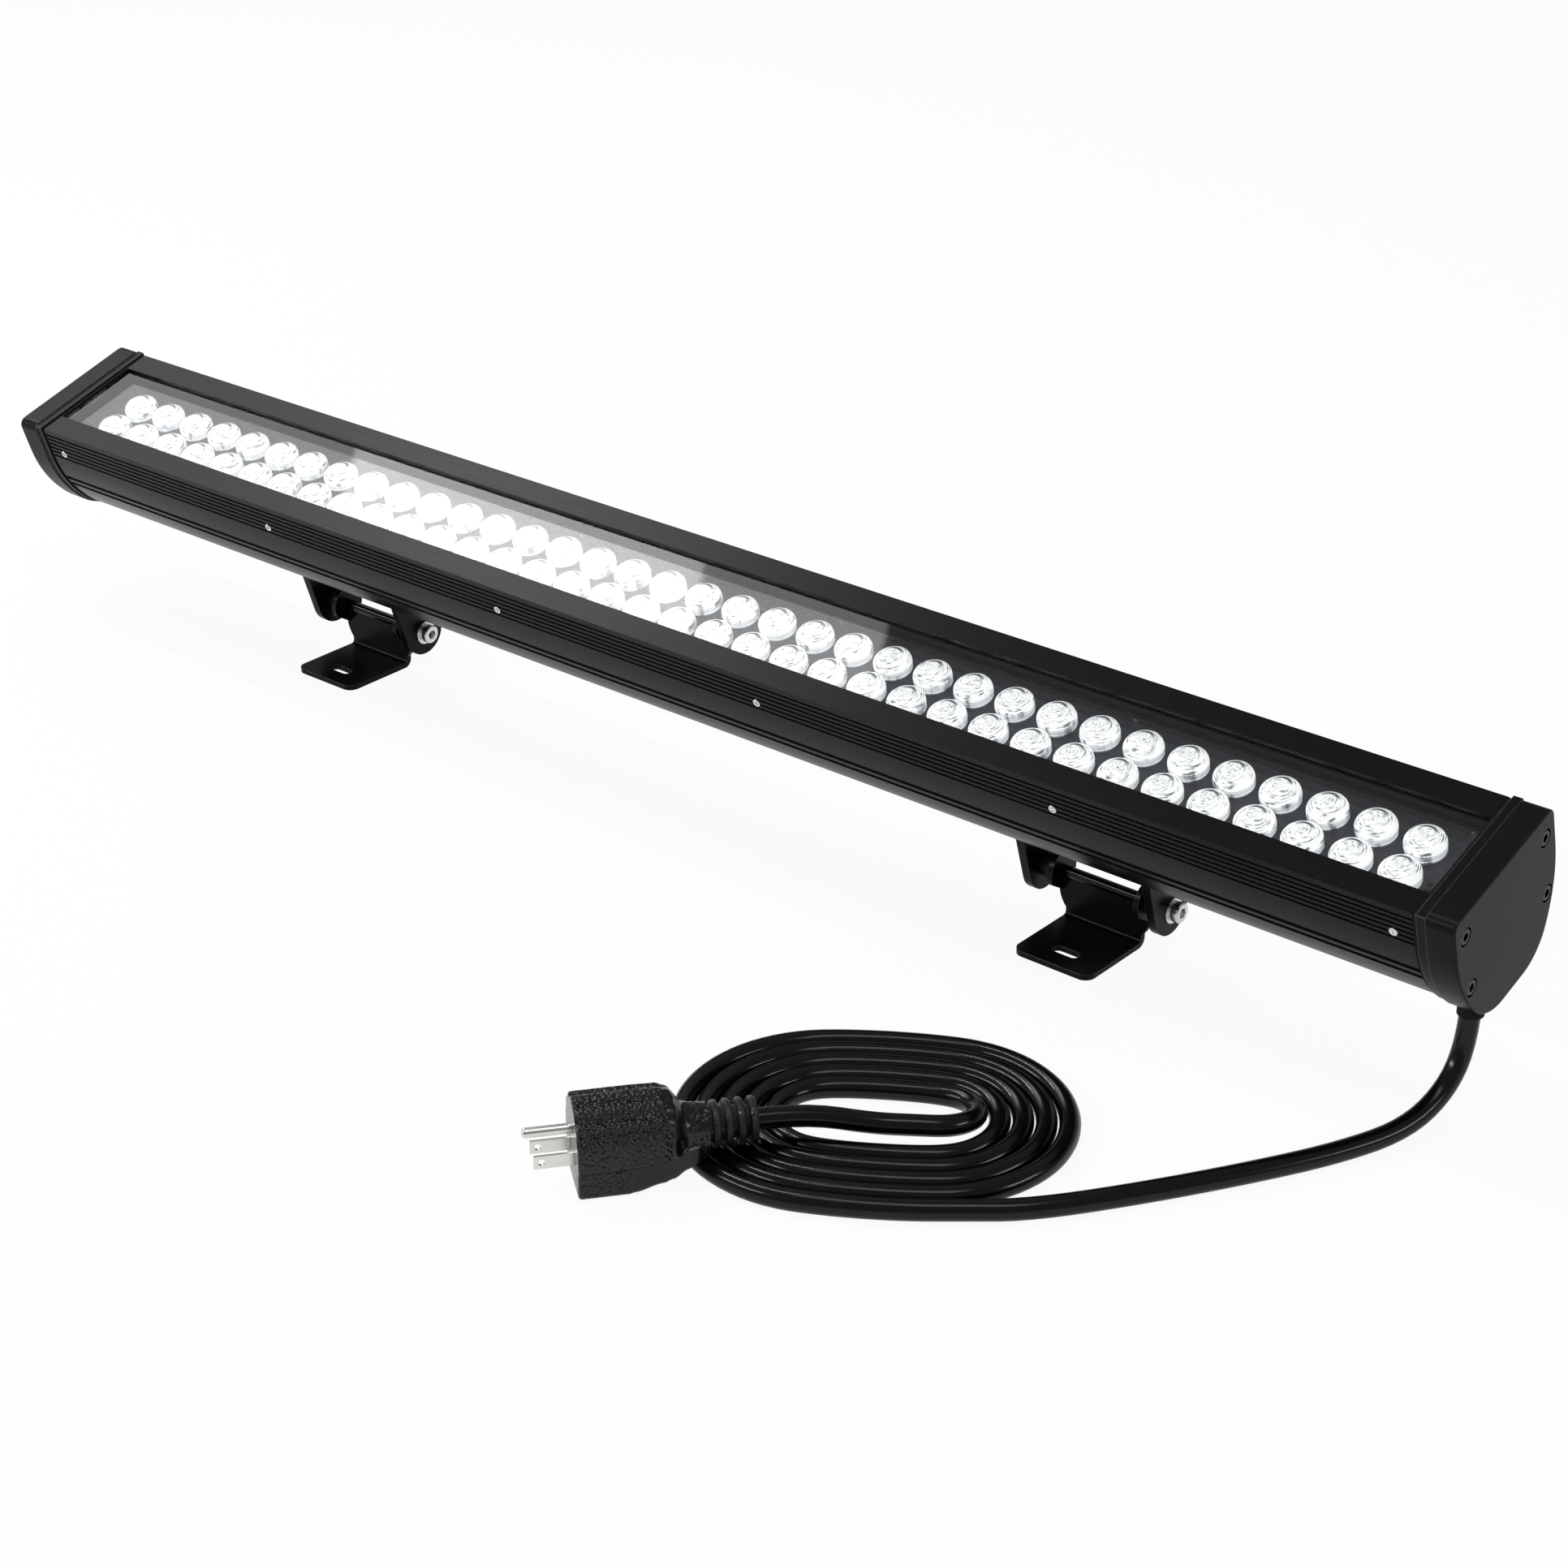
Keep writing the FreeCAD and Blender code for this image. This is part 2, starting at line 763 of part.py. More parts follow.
def lens_row(label, side):
    """Lenses moulded with a foot ring, a hollow over the chip, a rim and a dome."""
    foot, rim = size("lens_foot_radius"), size("lens_radius")
    low, shoulder = size(BOARD_TOP), size("panel_top - panel_thickness")
    edge = size("panel_top + lens_rim")
    hollow, hollow_top = size("lens_hollow_radius"), low + size("lens_hollow_height")
    crown = edge + size("lens_dome")
    dome_radius = (rim**2 + size("lens_dome") ** 2) / (2 * size("lens_dome"))
    lean = math.asin(rim / dome_radius) / 2
    on_dome = Vector(
        dome_radius * math.sin(lean), 0, crown - dome_radius + dome_radius * math.cos(lean)
    )
    ring = [
        Vector(0, 0, hollow_top),
        Vector(hollow, 0, hollow_top),
        Vector(hollow, 0, low),
        Vector(foot, 0, low),
        Vector(rim, 0, shoulder),
        Vector(rim, 0, edge),
    ]
    edges = [Part.LineSegment(a, b).toShape() for a, b in zip(ring, ring[1:])]
    edges.append(Part.Arc(ring[-1], on_dome, Vector(0, 0, crown)).toShape())
    edges.append(Part.LineSegment(Vector(0, 0, crown), ring[0]).toShape())
    lens = Part.Face(Part.Wire(edges)).revolve(Vector(), UP, 360)
    lens = lens if lens.Volume > 0 else lens.reversed()
    places = [
        Placement(Vector(along, side * size("row_spacing / 2"), 0), Rotation())
        for along in lens_places()
    ]
    return shaped(label, copies(lens, places), bar_place())


def board_and_chips():
    board = add(
        "Part::Box", "led_board", Length=BOARD_LENGTH, Width="board_width", Height="board_thickness"
    )
    corner = (f"-{BOARD_LENGTH} / 2", "-board_width / 2", "web_top")
    chip = Part.makeBox(size("chip_length"), size("chip_width"), size("chip_height"))
    places = [
        Placement(
            Vector(
                along - size("chip_length / 2"),
                side * size("row_spacing / 2") - size("chip_width / 2"),
                size(BOARD_TOP),
            ),
            Rotation(),
        )
        for side in (-1, 1)
        for along in lens_places()
    ]
    return [seat_box(board, corner), shaped("led_chips", copies(chip, places), bar_place())]


def seat_box(box, corner):
    """Places a box on the tilted bar by its lowest corner."""
    local = Vector(*[size(text) for text in corner])
    box.Placement = bar_place().multiply(Placement(local, Rotation()))
    across, up = formula(corner[1]), formula(corner[2])
    lean = "Sizes.tilt * 1 deg"
    box.setExpression("Placement.Base.x", formula(corner[0]))
    box.setExpression(
        "Placement.Base.y",
        f"Sizes.pivot_behind_slots + ({across}) * cos({lean}) - ({up}) * sin({lean})",
    )
    box.setExpression(
        "Placement.Base.z",
        f"Sizes.pivot_height + ({across}) * sin({lean}) + ({up}) * cos({lean})",
    )
    box.setExpression("Placement.Rotation.Angle", lean)
    return box


# Driver: a slim case against the underside of the web, between its two leads.
def driver():
    case = add(
        "Part::Box", "driver_case", Length="driver_length", Width="driver_width", Height="driver_height"
    )
    corner = ("-driver_length / 2", "-driver_width / 2", f"{WEB_BOTTOM} - driver_height")
    seat_box(case, corner)
    low = size(f"{WEB_BOTTOM} - output_drop")
    route = [
        Vector(-size("driver_length / 2"), 0, low),
        Vector(-size("output_along"), 0, low),
        Vector(-size("output_along"), 0, size("web_top")),
    ]
    output = shaped("output_lead", tube(route, size("output_diameter"), "output_lead"), bar_place())
    front = size("pivot_behind_slots - cord_exit_front")
    exit_along = size(CORD_ALONG)
    route = [
        Vector(exit_along, front, size("cord_top")),
        Vector(exit_along, front, size("mains_lead_height")),
        Vector(size("driver_length / 2"), front, size("mains_lead_height")),
    ]
    mains = shaped("mains_lead", tube(route, size("mains_lead_diameter"), "mains_lead"))
    return [case, output, mains]


# Saddles: U brackets under the bar, whose ears hold the pivot bolts.
def saddle(label, side):
    body = new_body(label)
    half, deep = "(saddle_width / 2)", "saddle_half_depth"
    sketch = new_sketch(body, "YZ_Plane")
    outline(
        sketch,
        [
            (f"-{deep}", HOUSING_BOTTOM),
            (f"-{deep}", "0", "level", -1),
            (deep, "0"),
            (deep, HOUSING_BOTTOM),
        ],
    )
    pad(body, sketch, "saddle_width", middle=True)
    sketch = new_sketch(body, "XZ_Plane")
    inside = f"({half} - saddle_ear)"
    under = f"({HOUSING_BOTTOM} - saddle_plate)"
    rectangle(sketch, f"-{inside}", inside, f"-2 * {deep}", under)
    cut_through(body, sketch)
    sketch = new_sketch(body, "YZ_Plane")
    rectangle(sketch, f"-{deep}", deep, under, HOUSING_BOTTOM)
    pad(body, sketch, "saddle_plate_width", middle=True)
    sketch = new_sketch(body, "YZ_Plane")
    circle(sketch, "0", "0", "pivot_radius + pivot_play")
    cut_through(body, sketch)
    sketch = new_sketch(body, "XY_Plane")
    for end in ("-", ""):
        circle(sketch, f"{end}saddle_screw_spacing / 2", "0", "saddle_screw_radius + hole_play")
    cut_through(body, sketch)
    on_the_bar(body)
    body.Placement.Base.x = side * size("bracket_spacing / 2")
    bind(body, Placement__Base__x=f"{side} * bracket_spacing / 2")
    return body


def saddle_screws(label, side):
    """Two screws up through the saddle plate into the housing floor."""
    seat = size(f"{HOUSING_BOTTOM} - saddle_plate")
    shank = size(f"chamber_floor - {HOUSING_BOTTOM} + saddle_plate")
    screw = socket_screw(
        size("saddle_screw_radius"), shank, size("saddle_head_radius"), size("saddle_head_length"), 3, 1.6
    )
    places = [
        Placement(
            Vector(side * size("bracket_spacing / 2") + end * size("saddle_screw_spacing / 2"), 0, seat),
            Rotation(UP, -UP),
        )
        for end in (-1, 1)
    ]
    return shaped(label, copies(screw, places), bar_place())


# Foot brackets: a slotted plate bent up into a flared upright, with an ear at each side of it.
def foot_bracket(label, side):
    body = new_body(label)
    half, wide = "(foot_width / 2)", "(upright_width / 2)"
    floor = "-pivot_height"
    top = "(foot_thickness - pivot_height)"
    near, back = "upright_behind", "(upright_behind + foot_thickness)"
    outer = "(bend_radius + foot_thickness)"
    sketch = new_sketch(body, "YZ_Plane")
    outline(
        sketch,
        [
            ("-foot_front", floor),
            (f"({back} - {outer})", floor, outer, -1),
            (back, f"({floor} + {outer})"),
            (back, "-upright_drop"),
            (near, "-upright_drop"),
            (near, f"({top} + bend_radius)", "bend_radius", 1),
            (f"({near} - bend_radius)", top),
            ("-foot_front", top),
        ],
    )
    pad(body, sketch, "upright_width", middle=True)

    sketch = new_sketch(body, "XZ_Plane")
    low, high = "(flare_start - pivot_height)", "(flare_end - pivot_height)"
    beyond, below = f"({wide} + 2)", f"({floor} - 2)"
    outline(
        sketch,
        [(half, low, "flare_radius", -1), (wide, high), (beyond, high), (beyond, below), (half, below)],
    )
    outline(
        sketch,
        [
            (f"-{half}", below),
            (f"-{beyond}", below),
            (f"-{beyond}", high),
            (f"-{wide}", high, "flare_radius", -1),
            (f"-{half}", low),
        ],
    )
    trimmed = cut_through(body, sketch)
    front = [
        f"Edge{number}"
        for number, edge in enumerate(trimmed.Shape.Edges, start=1)
        if all(abs(point.Point.y + size("foot_front")) < 1e-6 for point in edge.Vertexes)
        and abs(edge.Vertexes[0].Point.x - edge.Vertexes[-1].Point.x) < 1e-6
    ]
    rounded = body.newObject("PartDesign::Fillet", f"{label}_corners")
    rounded.Base = (trimmed, front)
    bind(rounded, Radius="foot_corner")
    doc.recompute()

    for start in (f"({wide} - foot_thickness)", f"-{wide}"):
        sketch = new_sketch(body, "YZ_Plane")
        outline(
            sketch,
            [
                (near, "-ear_root"),
                (back, "-ear_root"),
                ("ear_radius * cos(30 deg)", "-ear_radius / 2", "ear_radius", -1),
                ("0", "ear_radius", "ear_radius", -1),
                ("-ear_radius * cos(30 deg)", "-ear_radius / 2"),
            ],
        )
        pad(body, sketch, "foot_thickness", start)
        doc.recompute()
    sketch = new_sketch(body, "YZ_Plane")
    circle(sketch, "0", "0", "pivot_radius + pivot_play")
    cut_through(body, sketch)

    sketch = new_sketch(body, "XY_Plane")
    end, wall = "(slot_length / 2 - slot_width / 2)", "(slot_width / 2)"
    outline(
        sketch,
        [
            (f"-{end}", f"-pivot_behind_slots - {wall}"),
            (end, f"-pivot_behind_slots - {wall}", "upright", -1),
            (end, f"-pivot_behind_slots + {wall}"),
            (f"-{end}", f"-pivot_behind_slots + {wall}", "upright", -1),
        ],
    )
    cut_deep(body, sketch, "foot_thickness + 2", f"{floor} - 1", back=True)
    return at_foot(body, side)


# Pivots: a through bolt with its nut, steel washers outside the ears and slip spacers between the
# saddle's ears and the foot's.
def pivot(side, name):
    outside = size("saddle_width / 2")
    washer = size("washer_thickness")
    radius, head = size("pivot_radius"), size("bolt_head_length")
    shank = 2 * outside + 2 * washer + size("nut_length") + 1
    bolt = socket_screw(radius, shank, size("bolt_head_radius"), head, 5, 3)
    place = bar_place()
    place.Base.x = side * size("bracket_spacing / 2")
    seat = Placement(ALONG * (outside + washer), Rotation(UP, ALONG))
    made = [shaped(f"{name}_pivot_bolt", copies(bolt, [seat]), place)]
    corner = size("nut_across") / math.sqrt(3)
    nut_start = -(outside + washer + size("nut_length"))
    ring = []
    for number in range(7):
        angle = math.radians(60 * number)
        ring.append(Vector(nut_start, corner * math.cos(angle), corner * math.sin(angle)))
    nut = Part.Face(Part.makePolygon(ring)).extrude(ALONG * size("nut_length"))
    bore = radius + size("pivot_play")
    hole_start = Vector(nut_start - 1, 0, 0)
    nut = nut.cut(Part.makeCylinder(bore, size("nut_length") + 2, hole_start, ALONG))
    made.append(shaped(f"{name}_pivot_nut", nut, place))
    rings = []
    for start in (outside, -outside - washer):
        rings.append(ring_of(size("washer_radius"), bore, start, washer))
    made.append(shaped(f"{name}_pivot_washers", Part.makeCompound(rings), place))
    low = size("upright_width / 2 + spacer_play")
    high = size("saddle_width / 2 - saddle_ear - spacer_play")
    rings = [ring_of(size("spacer_radius"), bore, start, high - low) for start in (low, -high)]
    made.append(shaped(f"{name}_pivot_spacers", Part.makeCompound(rings), place))
    return made


def ring_of(outer, inner, start, length):
    """A flat ring on the pivot axis."""
    disc = Part.makeCylinder(outer, length, Vector(start, 0, 0), ALONG)
    return disc.cut(Part.makeCylinder(inner, length + 2, Vector(start - 1, 0, 0), ALONG))


# Cord: tubes along straight runs joined by tangent arcs, and a flat oval coil of five turns.
def rounded_route(points, label, quiet=False):
    """The edges of a route whose corners are arcs of 0.45 of the shorter run beside them."""
    edges, start, radii = [], points[0], []
    for before, corner, after in zip(points, points[1:], points[2:]):
        come, leave = corner - before, after - corner
        turn = come.getAngle(leave)
        reach = 0.45 * min(come.Length, leave.Length)
        radii.append(reach / math.tan(turn / 2))
        begin = corner - come.normalize() * reach
        finish = corner + leave.normalize() * reach
        bisector = (begin + finish) * 0.5 - corner
        centre_gap = radii[-1] / math.cos(turn / 2)
        middle = corner + bisector.normalize() * (centre_gap - radii[-1])
        edges.append(Part.LineSegment(start, begin).toShape())
        edges.append(Part.Arc(begin, middle, finish).toShape())
        start = finish
    edges.append(Part.LineSegment(start, points[-1]).toShape())
    print(f"{label}: radii {', '.join(f'{radius:.0f}' for radius in radii)} mm")
    return edges


def swept(edges, diameter, label):
    """A round tube along joined edges, its volume compared with its section times its length."""
    path = Part.Wire(edges)
    start = path.Edges[0]
    heading = start.tangentAt(start.FirstParameter)
    ring = Part.Wire(Part.makeCircle(diameter / 2, start.valueAt(start.FirstParameter), heading))
    pipe = path.makePipeShell([ring], True, False)
    solid = pipe if pipe.Volume > 0 else pipe.reversed()
    wanted = math.pi * diameter**2 / 4 * path.Length
    print(f"{label}: length {path.Length:.1f} mm, volume {solid.Volume / wanted:.4f} of section x length")
    return solid


def tube(points, diameter, label):
    return swept(rounded_route(points, label), diameter, label)


def coil_frame():
    """From the coil's own plane (along it, away from the front) to the row frame."""
    radius = size("cord_diameter / 2")
    centre = Vector(size("coil_along"), size("pivot_behind_slots - coil_front"), radius)
    return Placement(centre, Rotation(UP, size("coil_heading")))


def coil_edges():
    """The coil, from its outer end inwards, in its own plane. Four fixed centres make an oval
    whose turns all lie one pitch apart. The last end arc leans up, so that the inner end lifts."""
    apart, pitch = size("2 * coil_centre_offset"), size("coil_pitch")
    deep = (apart**2 - (pitch / 2) ** 2) / pitch
    sweep = math.degrees(math.atan2(apart, deep))
    right, left = Vector(apart / 2, 0, 0), Vector(-apart / 2, 0, 0)
    front, far = right + Vector(0, deep, 0), left - Vector(0, deep, 0)
    turns = int(size("coil_turns"))
    end_radius = size("coil_inner_radius") + (turns - 0.5) * pitch
    edges = []
    for turn in range(turns):
        arcs = (
            (front, end_radius + deep + pitch / 2, -90, sweep),
            (left, end_radius, -90 - sweep, 180 - sweep),
            (far, end_radius + deep, 90, sweep),
            (right, end_radius - pitch / 2, 90 - sweep, 180 - sweep),
        )
        for centre, radius, start, span in arcs:
            edges.append(clockwise_arc(centre, radius, start, span))
        end_radius -= pitch
    edges[-1] = leaned(edges[-1])
    return edges


def clockwise_arc(centre, radius, start, span):
    places = []
    for share in (0, 0.5, 1):
        angle = math.radians(start - share * span)
        places.append(centre + Vector(radius * math.cos(angle), radius * math.sin(angle), 0))
    return Part.Arc(*places).toShape()


def leaned(edge):
    """Turns a flat arc about its starting tangent, so that it climbs."""
    start = edge.valueAt(edge.FirstParameter)
    heading = edge.tangentAt(edge.FirstParameter)
    moved = edge.copy()
    moved.rotate(start, heading, -size("coil_climb"))
    return moved


def ends_of(edges):
    """A path's first and last points, each with the way the path goes there."""
    first, last = edges[0], edges[-1]
    return (
        first.valueAt(first.FirstParameter),
        first.tangentAt(first.FirstParameter),
        last.valueAt(last.LastParameter),
        last.tangentAt(last.LastParameter),
    )


def self_gap(edges, diameter):
    """The least gap between turns, measured on points along the coil's centreline."""
    points = []
    for edge in edges:
        points += edge.discretize(Distance=2.0)[:-1]
    least = 1e9
    skip = int(4 * diameter / 2)
    for number, point in enumerate(points):
        for other in points[number + skip :]:
            least = min(least, point.distanceToPoint(other))
    return least - diameter


def cord():
    diameter = size("cord_diameter")
    radius = diameter / 2
    edges = coil_edges()
    print(f"cord_coil: least gap between turns {self_gap(edges, diameter):.2f} mm")
    begin, set_out, finish, leave = ends_of(edges)
    outer_end, inner_end = begin - set_out * diameter, finish + leave * diameter
    edges.insert(0, Part.LineSegment(outer_end, begin).toShape())
    edges.append(Part.LineSegment(finish, inner_end).toShape())
    place = coil_frame()
    coil = shaped("cord_coil", swept(edges, diameter, "cord_coil"), place)

    front = size("pivot_behind_slots - cord_exit_front")
    along = size(CORD_ALONG)
    # From the cap straight down, over on to the floor and along it to the coil
    route = [
        Vector(along, front, size("cord_top")),
        Vector(along, front, 38),
        Vector(along - 1, front - 14, 18),
        Vector(along - 6, front - 40, 7.5),
        Vector(along - 21, front - 73, radius),
        Vector(along - 42, front - 111, radius),
        Vector(along - 70, front - 156, radius),
        place.multVec(outer_end - set_out * 30),
        place.multVec(outer_end),
    ]
    free = shaped("power_cord", tube(route, diameter, "power_cord"))

    relief_end = plug_place().Base
    ahead = plug_place().Rotation.multVec(ALONG)
    # From the coil's lifted inner end, over its left turns, to the plug's strain relief
    route = [
        place.multVec(inner_end),
        place.multVec(inner_end + leave * 17),
        relief_end - ahead * 22,
        relief_end,
    ]
    tail = shaped("cord_tail", tube(route, diameter, "cord_tail"))
    return [coil, free, tail]


def plug_place():
    """The plug's own frame: its origin is the cord end of the strain relief, X to its blades."""
    base = coil_frame().multVec(Vector(-57, -27, 0))
    base.z = size("plug_axis_height")
    return Placement(base, Rotation(UP, size("plug_heading")))


# Plug: a moulded body with a round top and a flat bottom, lofted out of a round-cornered neck.
def plug_section(along, half, bottom, top, corner):
    """A closed outline across the plug's axis, flat below and round above."""
    knee = top - half
    cut = corner * (1 - math.sqrt(0.5))
    points = [
        Vector(along, -half + corner, bottom),
        Vector(along, half - corner, bottom),
        Vector(along, half, bottom + corner),
        Vector(along, half, knee),
        Vector(along, -half, knee),
        Vector(along, -half, bottom + corner),
    ]
    right = Vector(along, half - cut, bottom + cut)
    left = Vector(along, -half + cut, bottom + cut)
    crown = Vector(along, 0, top)
    edges = [
        Part.LineSegment(points[0], points[1]),
        Part.Arc(points[1], right, points[2]),
        Part.LineSegment(points[2], points[3]),
        Part.Arc(points[3], crown, points[4]),
        Part.LineSegment(points[4], points[5]),
        Part.Arc(points[5], left, points[0]),
    ]
    return Part.Wire([edge.toShape() for edge in edges])


def plug():
    place = plug_place()
    relief, length = size("relief_length"), size("plug_length")
    half, corner = size("plug_width / 2"), size("plug_corner")
    low = 0.5 - size("plug_axis_height")
    high = low + size("plug_height")
    neck = size("relief_radius - 0.4")
    small = (neck, -neck, neck, corner)
    sections = [
        plug_section(relief, *small),
        plug_section(size("neck_end"), *small),
        plug_section(size("taper_end"), half, low, high, corner),
        plug_section(length, half, low, high, corner),
    ]
    body = Part.makeLoft(sections, True, True)
    made = [shaped("plug_body", body, place)]

    ribs = int(size("relief_ribs"))
    outer = size("relief_radius")
    inner = outer - size("relief_groove_depth")
    step = relief / (2 * ribs)
    sleeve = []
    for number in range(2 * ribs):
        radius = outer if number % 2 == 0 else inner
        sleeve.append(Part.makeCylinder(radius, step, Vector(number * step, 0, 0), ALONG))
    sleeve = sleeve[0].multiFuse(sleeve[1:]).removeSplitter()
    made.append(shaped("plug_strain_relief", sleeve, place))

    blade_low = low + size("blade_rise")
    blade = Part.makeBox(size("blade_length"), size("blade_thickness"), size("blade_width"))
    blade.translate(Vector(0, -size("blade_thickness / 2"), -size("blade_width / 2")))
    far = size("blade_length - 3.5")
    hole = Part.makeCylinder(size("blade_hole_radius"), 10, Vector(far, -5, 0), Vector(0, 1, 0))
    blade = blade.cut(hole)
    blades = copies(
        blade,
        [
            Placement(Vector(length, side * size("blade_spacing / 2"), blade_low), Rotation())
            for side in (-1, 1)
        ],
    )
    made.append(shaped("plug_blades", blades, place))
    pin_radius, pin_length = size("ground_radius"), size("ground_length")
    height = blade_low + size("ground_spacing")
    pin = Part.makeCylinder(pin_radius, pin_length, Vector(length, 0, height), ALONG)
    tip = [edge for edge in pin.Edges if abs(edge.BoundBox.XMin - length - pin_length) < 1e-6]
    pin = pin.makeFillet(pin_radius * 0.7, tip)
    made.append(shaped("ground_pin", pin, place))
    return made


def cord_bush():
    """The rubber bush that holds the cord in the right end cap."""
    bore = size("cord_diameter / 2 + pivot_play")
    outer = bore + size("bush_wall")
    low, high = size("bush_bottom"), size("bush_top")
    foot = Vector(size(CORD_ALONG), size("pivot_behind_slots - cord_exit_front"), low)
    bush = Part.makeCylinder(outer, high - low, foot)
    bush = bush.cut(Part.makeCylinder(bore, size("cord_top") - low + 1, foot - UP))
    lead_bore = size("mains_lead_diameter / 2 + pivot_play")
    return shaped("cord_bush", bush.cut(Part.makeCylinder(lead_bore, high - low + 1, foot)))


def bored_cap():
    """The right end cap, bored upright for the cord bush."""
    blank = end_cap("right_cap_blank", False)
    radius = "cord_diameter / 2 + pivot_play + bush_wall"
    drill = add("Part::Cylinder", "cord_drill", Radius=radius, Height="bush_top - bush_bottom + 10")
    bind(
        drill,
        Placement__Base__x=CORD_ALONG,
        Placement__Base__y="pivot_behind_slots - cord_exit_front",
        Placement__Base__z="bush_bottom - 10",
    )
    cap = add("Part::Cut", "right_end_cap")
    cap.Base = blank
    cap.Tool = drill
    return cap


pieces = [housing()]
pieces += glass_and_seals()
pieces += [lens_panel(), lens_row("front_row_lenses", -1), lens_row("rear_row_lenses", 1)]
pieces += board_and_chips()
pieces += [panel_screws()]
pieces += driver()
pieces += [end_cap("left_end_cap", True), bored_cap()]
pieces += [end_gasket("left_end_gasket", True), end_gasket("right_end_gasket", False)]
pieces += [cap_screws("left_cap_screws", -1), cap_screws("right_cap_screws", 1)]
pieces += [side_screws("front_side_screws", -1), side_screws("rear_side_screws", 1)]
for side, name in ((-1, "left"), (1, "right")):
    pieces.append(saddle(f"{name}_saddle", side))
    pieces.append(saddle_screws(f"{name}_saddle_screws", side))
    pieces.append(foot_bracket(f"{name}_foot_bracket", side))
    pieces += pivot(side, name)
pieces += [cord_bush()]
pieces += cord()
pieces += plug()

doc.recompute()
for thing in doc.Objects:
    failed = [word for word in thing.State if word in ("Invalid", "Error")]
    assert not failed, f"{thing.Label} failed: {failed}"
for piece in pieces:
    assert not piece.Shape.isNull(), f"{piece.Label} has no shape"
    assert piece.Shape.isValid(), f"{piece.Label} isn't valid"

os.makedirs("parts", exist_ok=True)
for piece in pieces:
    piece.Shape.exportStep(f"parts/{piece.Label}.step")
print(f"{len(pieces)} nodes written")
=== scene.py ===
import math

import bmesh
import bpy
from mathutils import Matrix, Vector


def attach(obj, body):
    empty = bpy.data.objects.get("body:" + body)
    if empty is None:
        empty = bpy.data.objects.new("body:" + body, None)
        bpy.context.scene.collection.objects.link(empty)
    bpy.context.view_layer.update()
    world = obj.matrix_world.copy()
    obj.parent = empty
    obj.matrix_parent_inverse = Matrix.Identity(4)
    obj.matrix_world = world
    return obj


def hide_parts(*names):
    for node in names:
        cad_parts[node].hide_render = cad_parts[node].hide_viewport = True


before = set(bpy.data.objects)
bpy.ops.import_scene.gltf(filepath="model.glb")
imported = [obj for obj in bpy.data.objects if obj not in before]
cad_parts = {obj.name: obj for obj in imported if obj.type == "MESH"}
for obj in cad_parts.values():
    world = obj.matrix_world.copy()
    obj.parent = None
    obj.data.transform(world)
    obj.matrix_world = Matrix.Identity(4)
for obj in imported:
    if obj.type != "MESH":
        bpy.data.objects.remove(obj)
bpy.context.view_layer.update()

# Camera: a long lens, well above the bar and beyond its cord end, as in the photograph. Its place
# and directions were worked out from the corners of the bar and the feet that the photograph shows.
CAMERA_PLACE = Vector((1.0511, -1.1563, 0.7944))
CAMERA_AHEAD = Vector((-0.5746, 0.6849, -0.4481))
CAMERA_UP = Vector((-0.2881, 0.3432, 0.8940))
camera_data = bpy.data.cameras.new("camera")
camera_data.lens = 72.61
camera_data.sensor_width = 36
camera_data.sensor_fit = "HORIZONTAL"
camera_data.clip_end = 50
camera = bpy.data.objects.new("camera", camera_data)
bpy.context.scene.collection.objects.link(camera)
ahead = CAMERA_AHEAD.normalized()
aside = ahead.cross(CAMERA_UP).normalized()
camera_turn = Matrix((aside, aside.cross(ahead), -ahead)).transposed()
camera.matrix_world = Matrix.Translation(CAMERA_PLACE) @ camera_turn.to_4x4()
bpy.context.scene.camera = camera
bpy.context.scene.view_settings.view_transform = "Standard"


# Floor: a plain pale sweep with soft studio light above it. Rays from the camera, and those that
# metal and glass send on, find it near white, and the object's shadow stays on it.
class Socket:
    """A socket of a finish's node tree, whose sums, products and powers add Math nodes."""

    def __init__(self, finish, socket):
        self.finish = finish
        self.socket = socket

    def math(self, operation, first, second):
        return self.finish.node("ShaderNodeMath", {"operation": operation}, {0: first, 1: second})

    def __add__(self, other):
        return self.math("ADD", self, other)

    def __radd__(self, other):
        return self.math("ADD", other, self)

    def __sub__(self, other):
        return self.math("SUBTRACT", self, other)

    def __rsub__(self, other):
        return self.math("SUBTRACT", other, self)

    def __mul__(self, other):
        return self.math("MULTIPLY", self, other)

    def __pow__(self, other):
        return self.math("POWER", self, other)

    def __gt__(self, other):
        return self.math("GREATER_THAN", self, other)


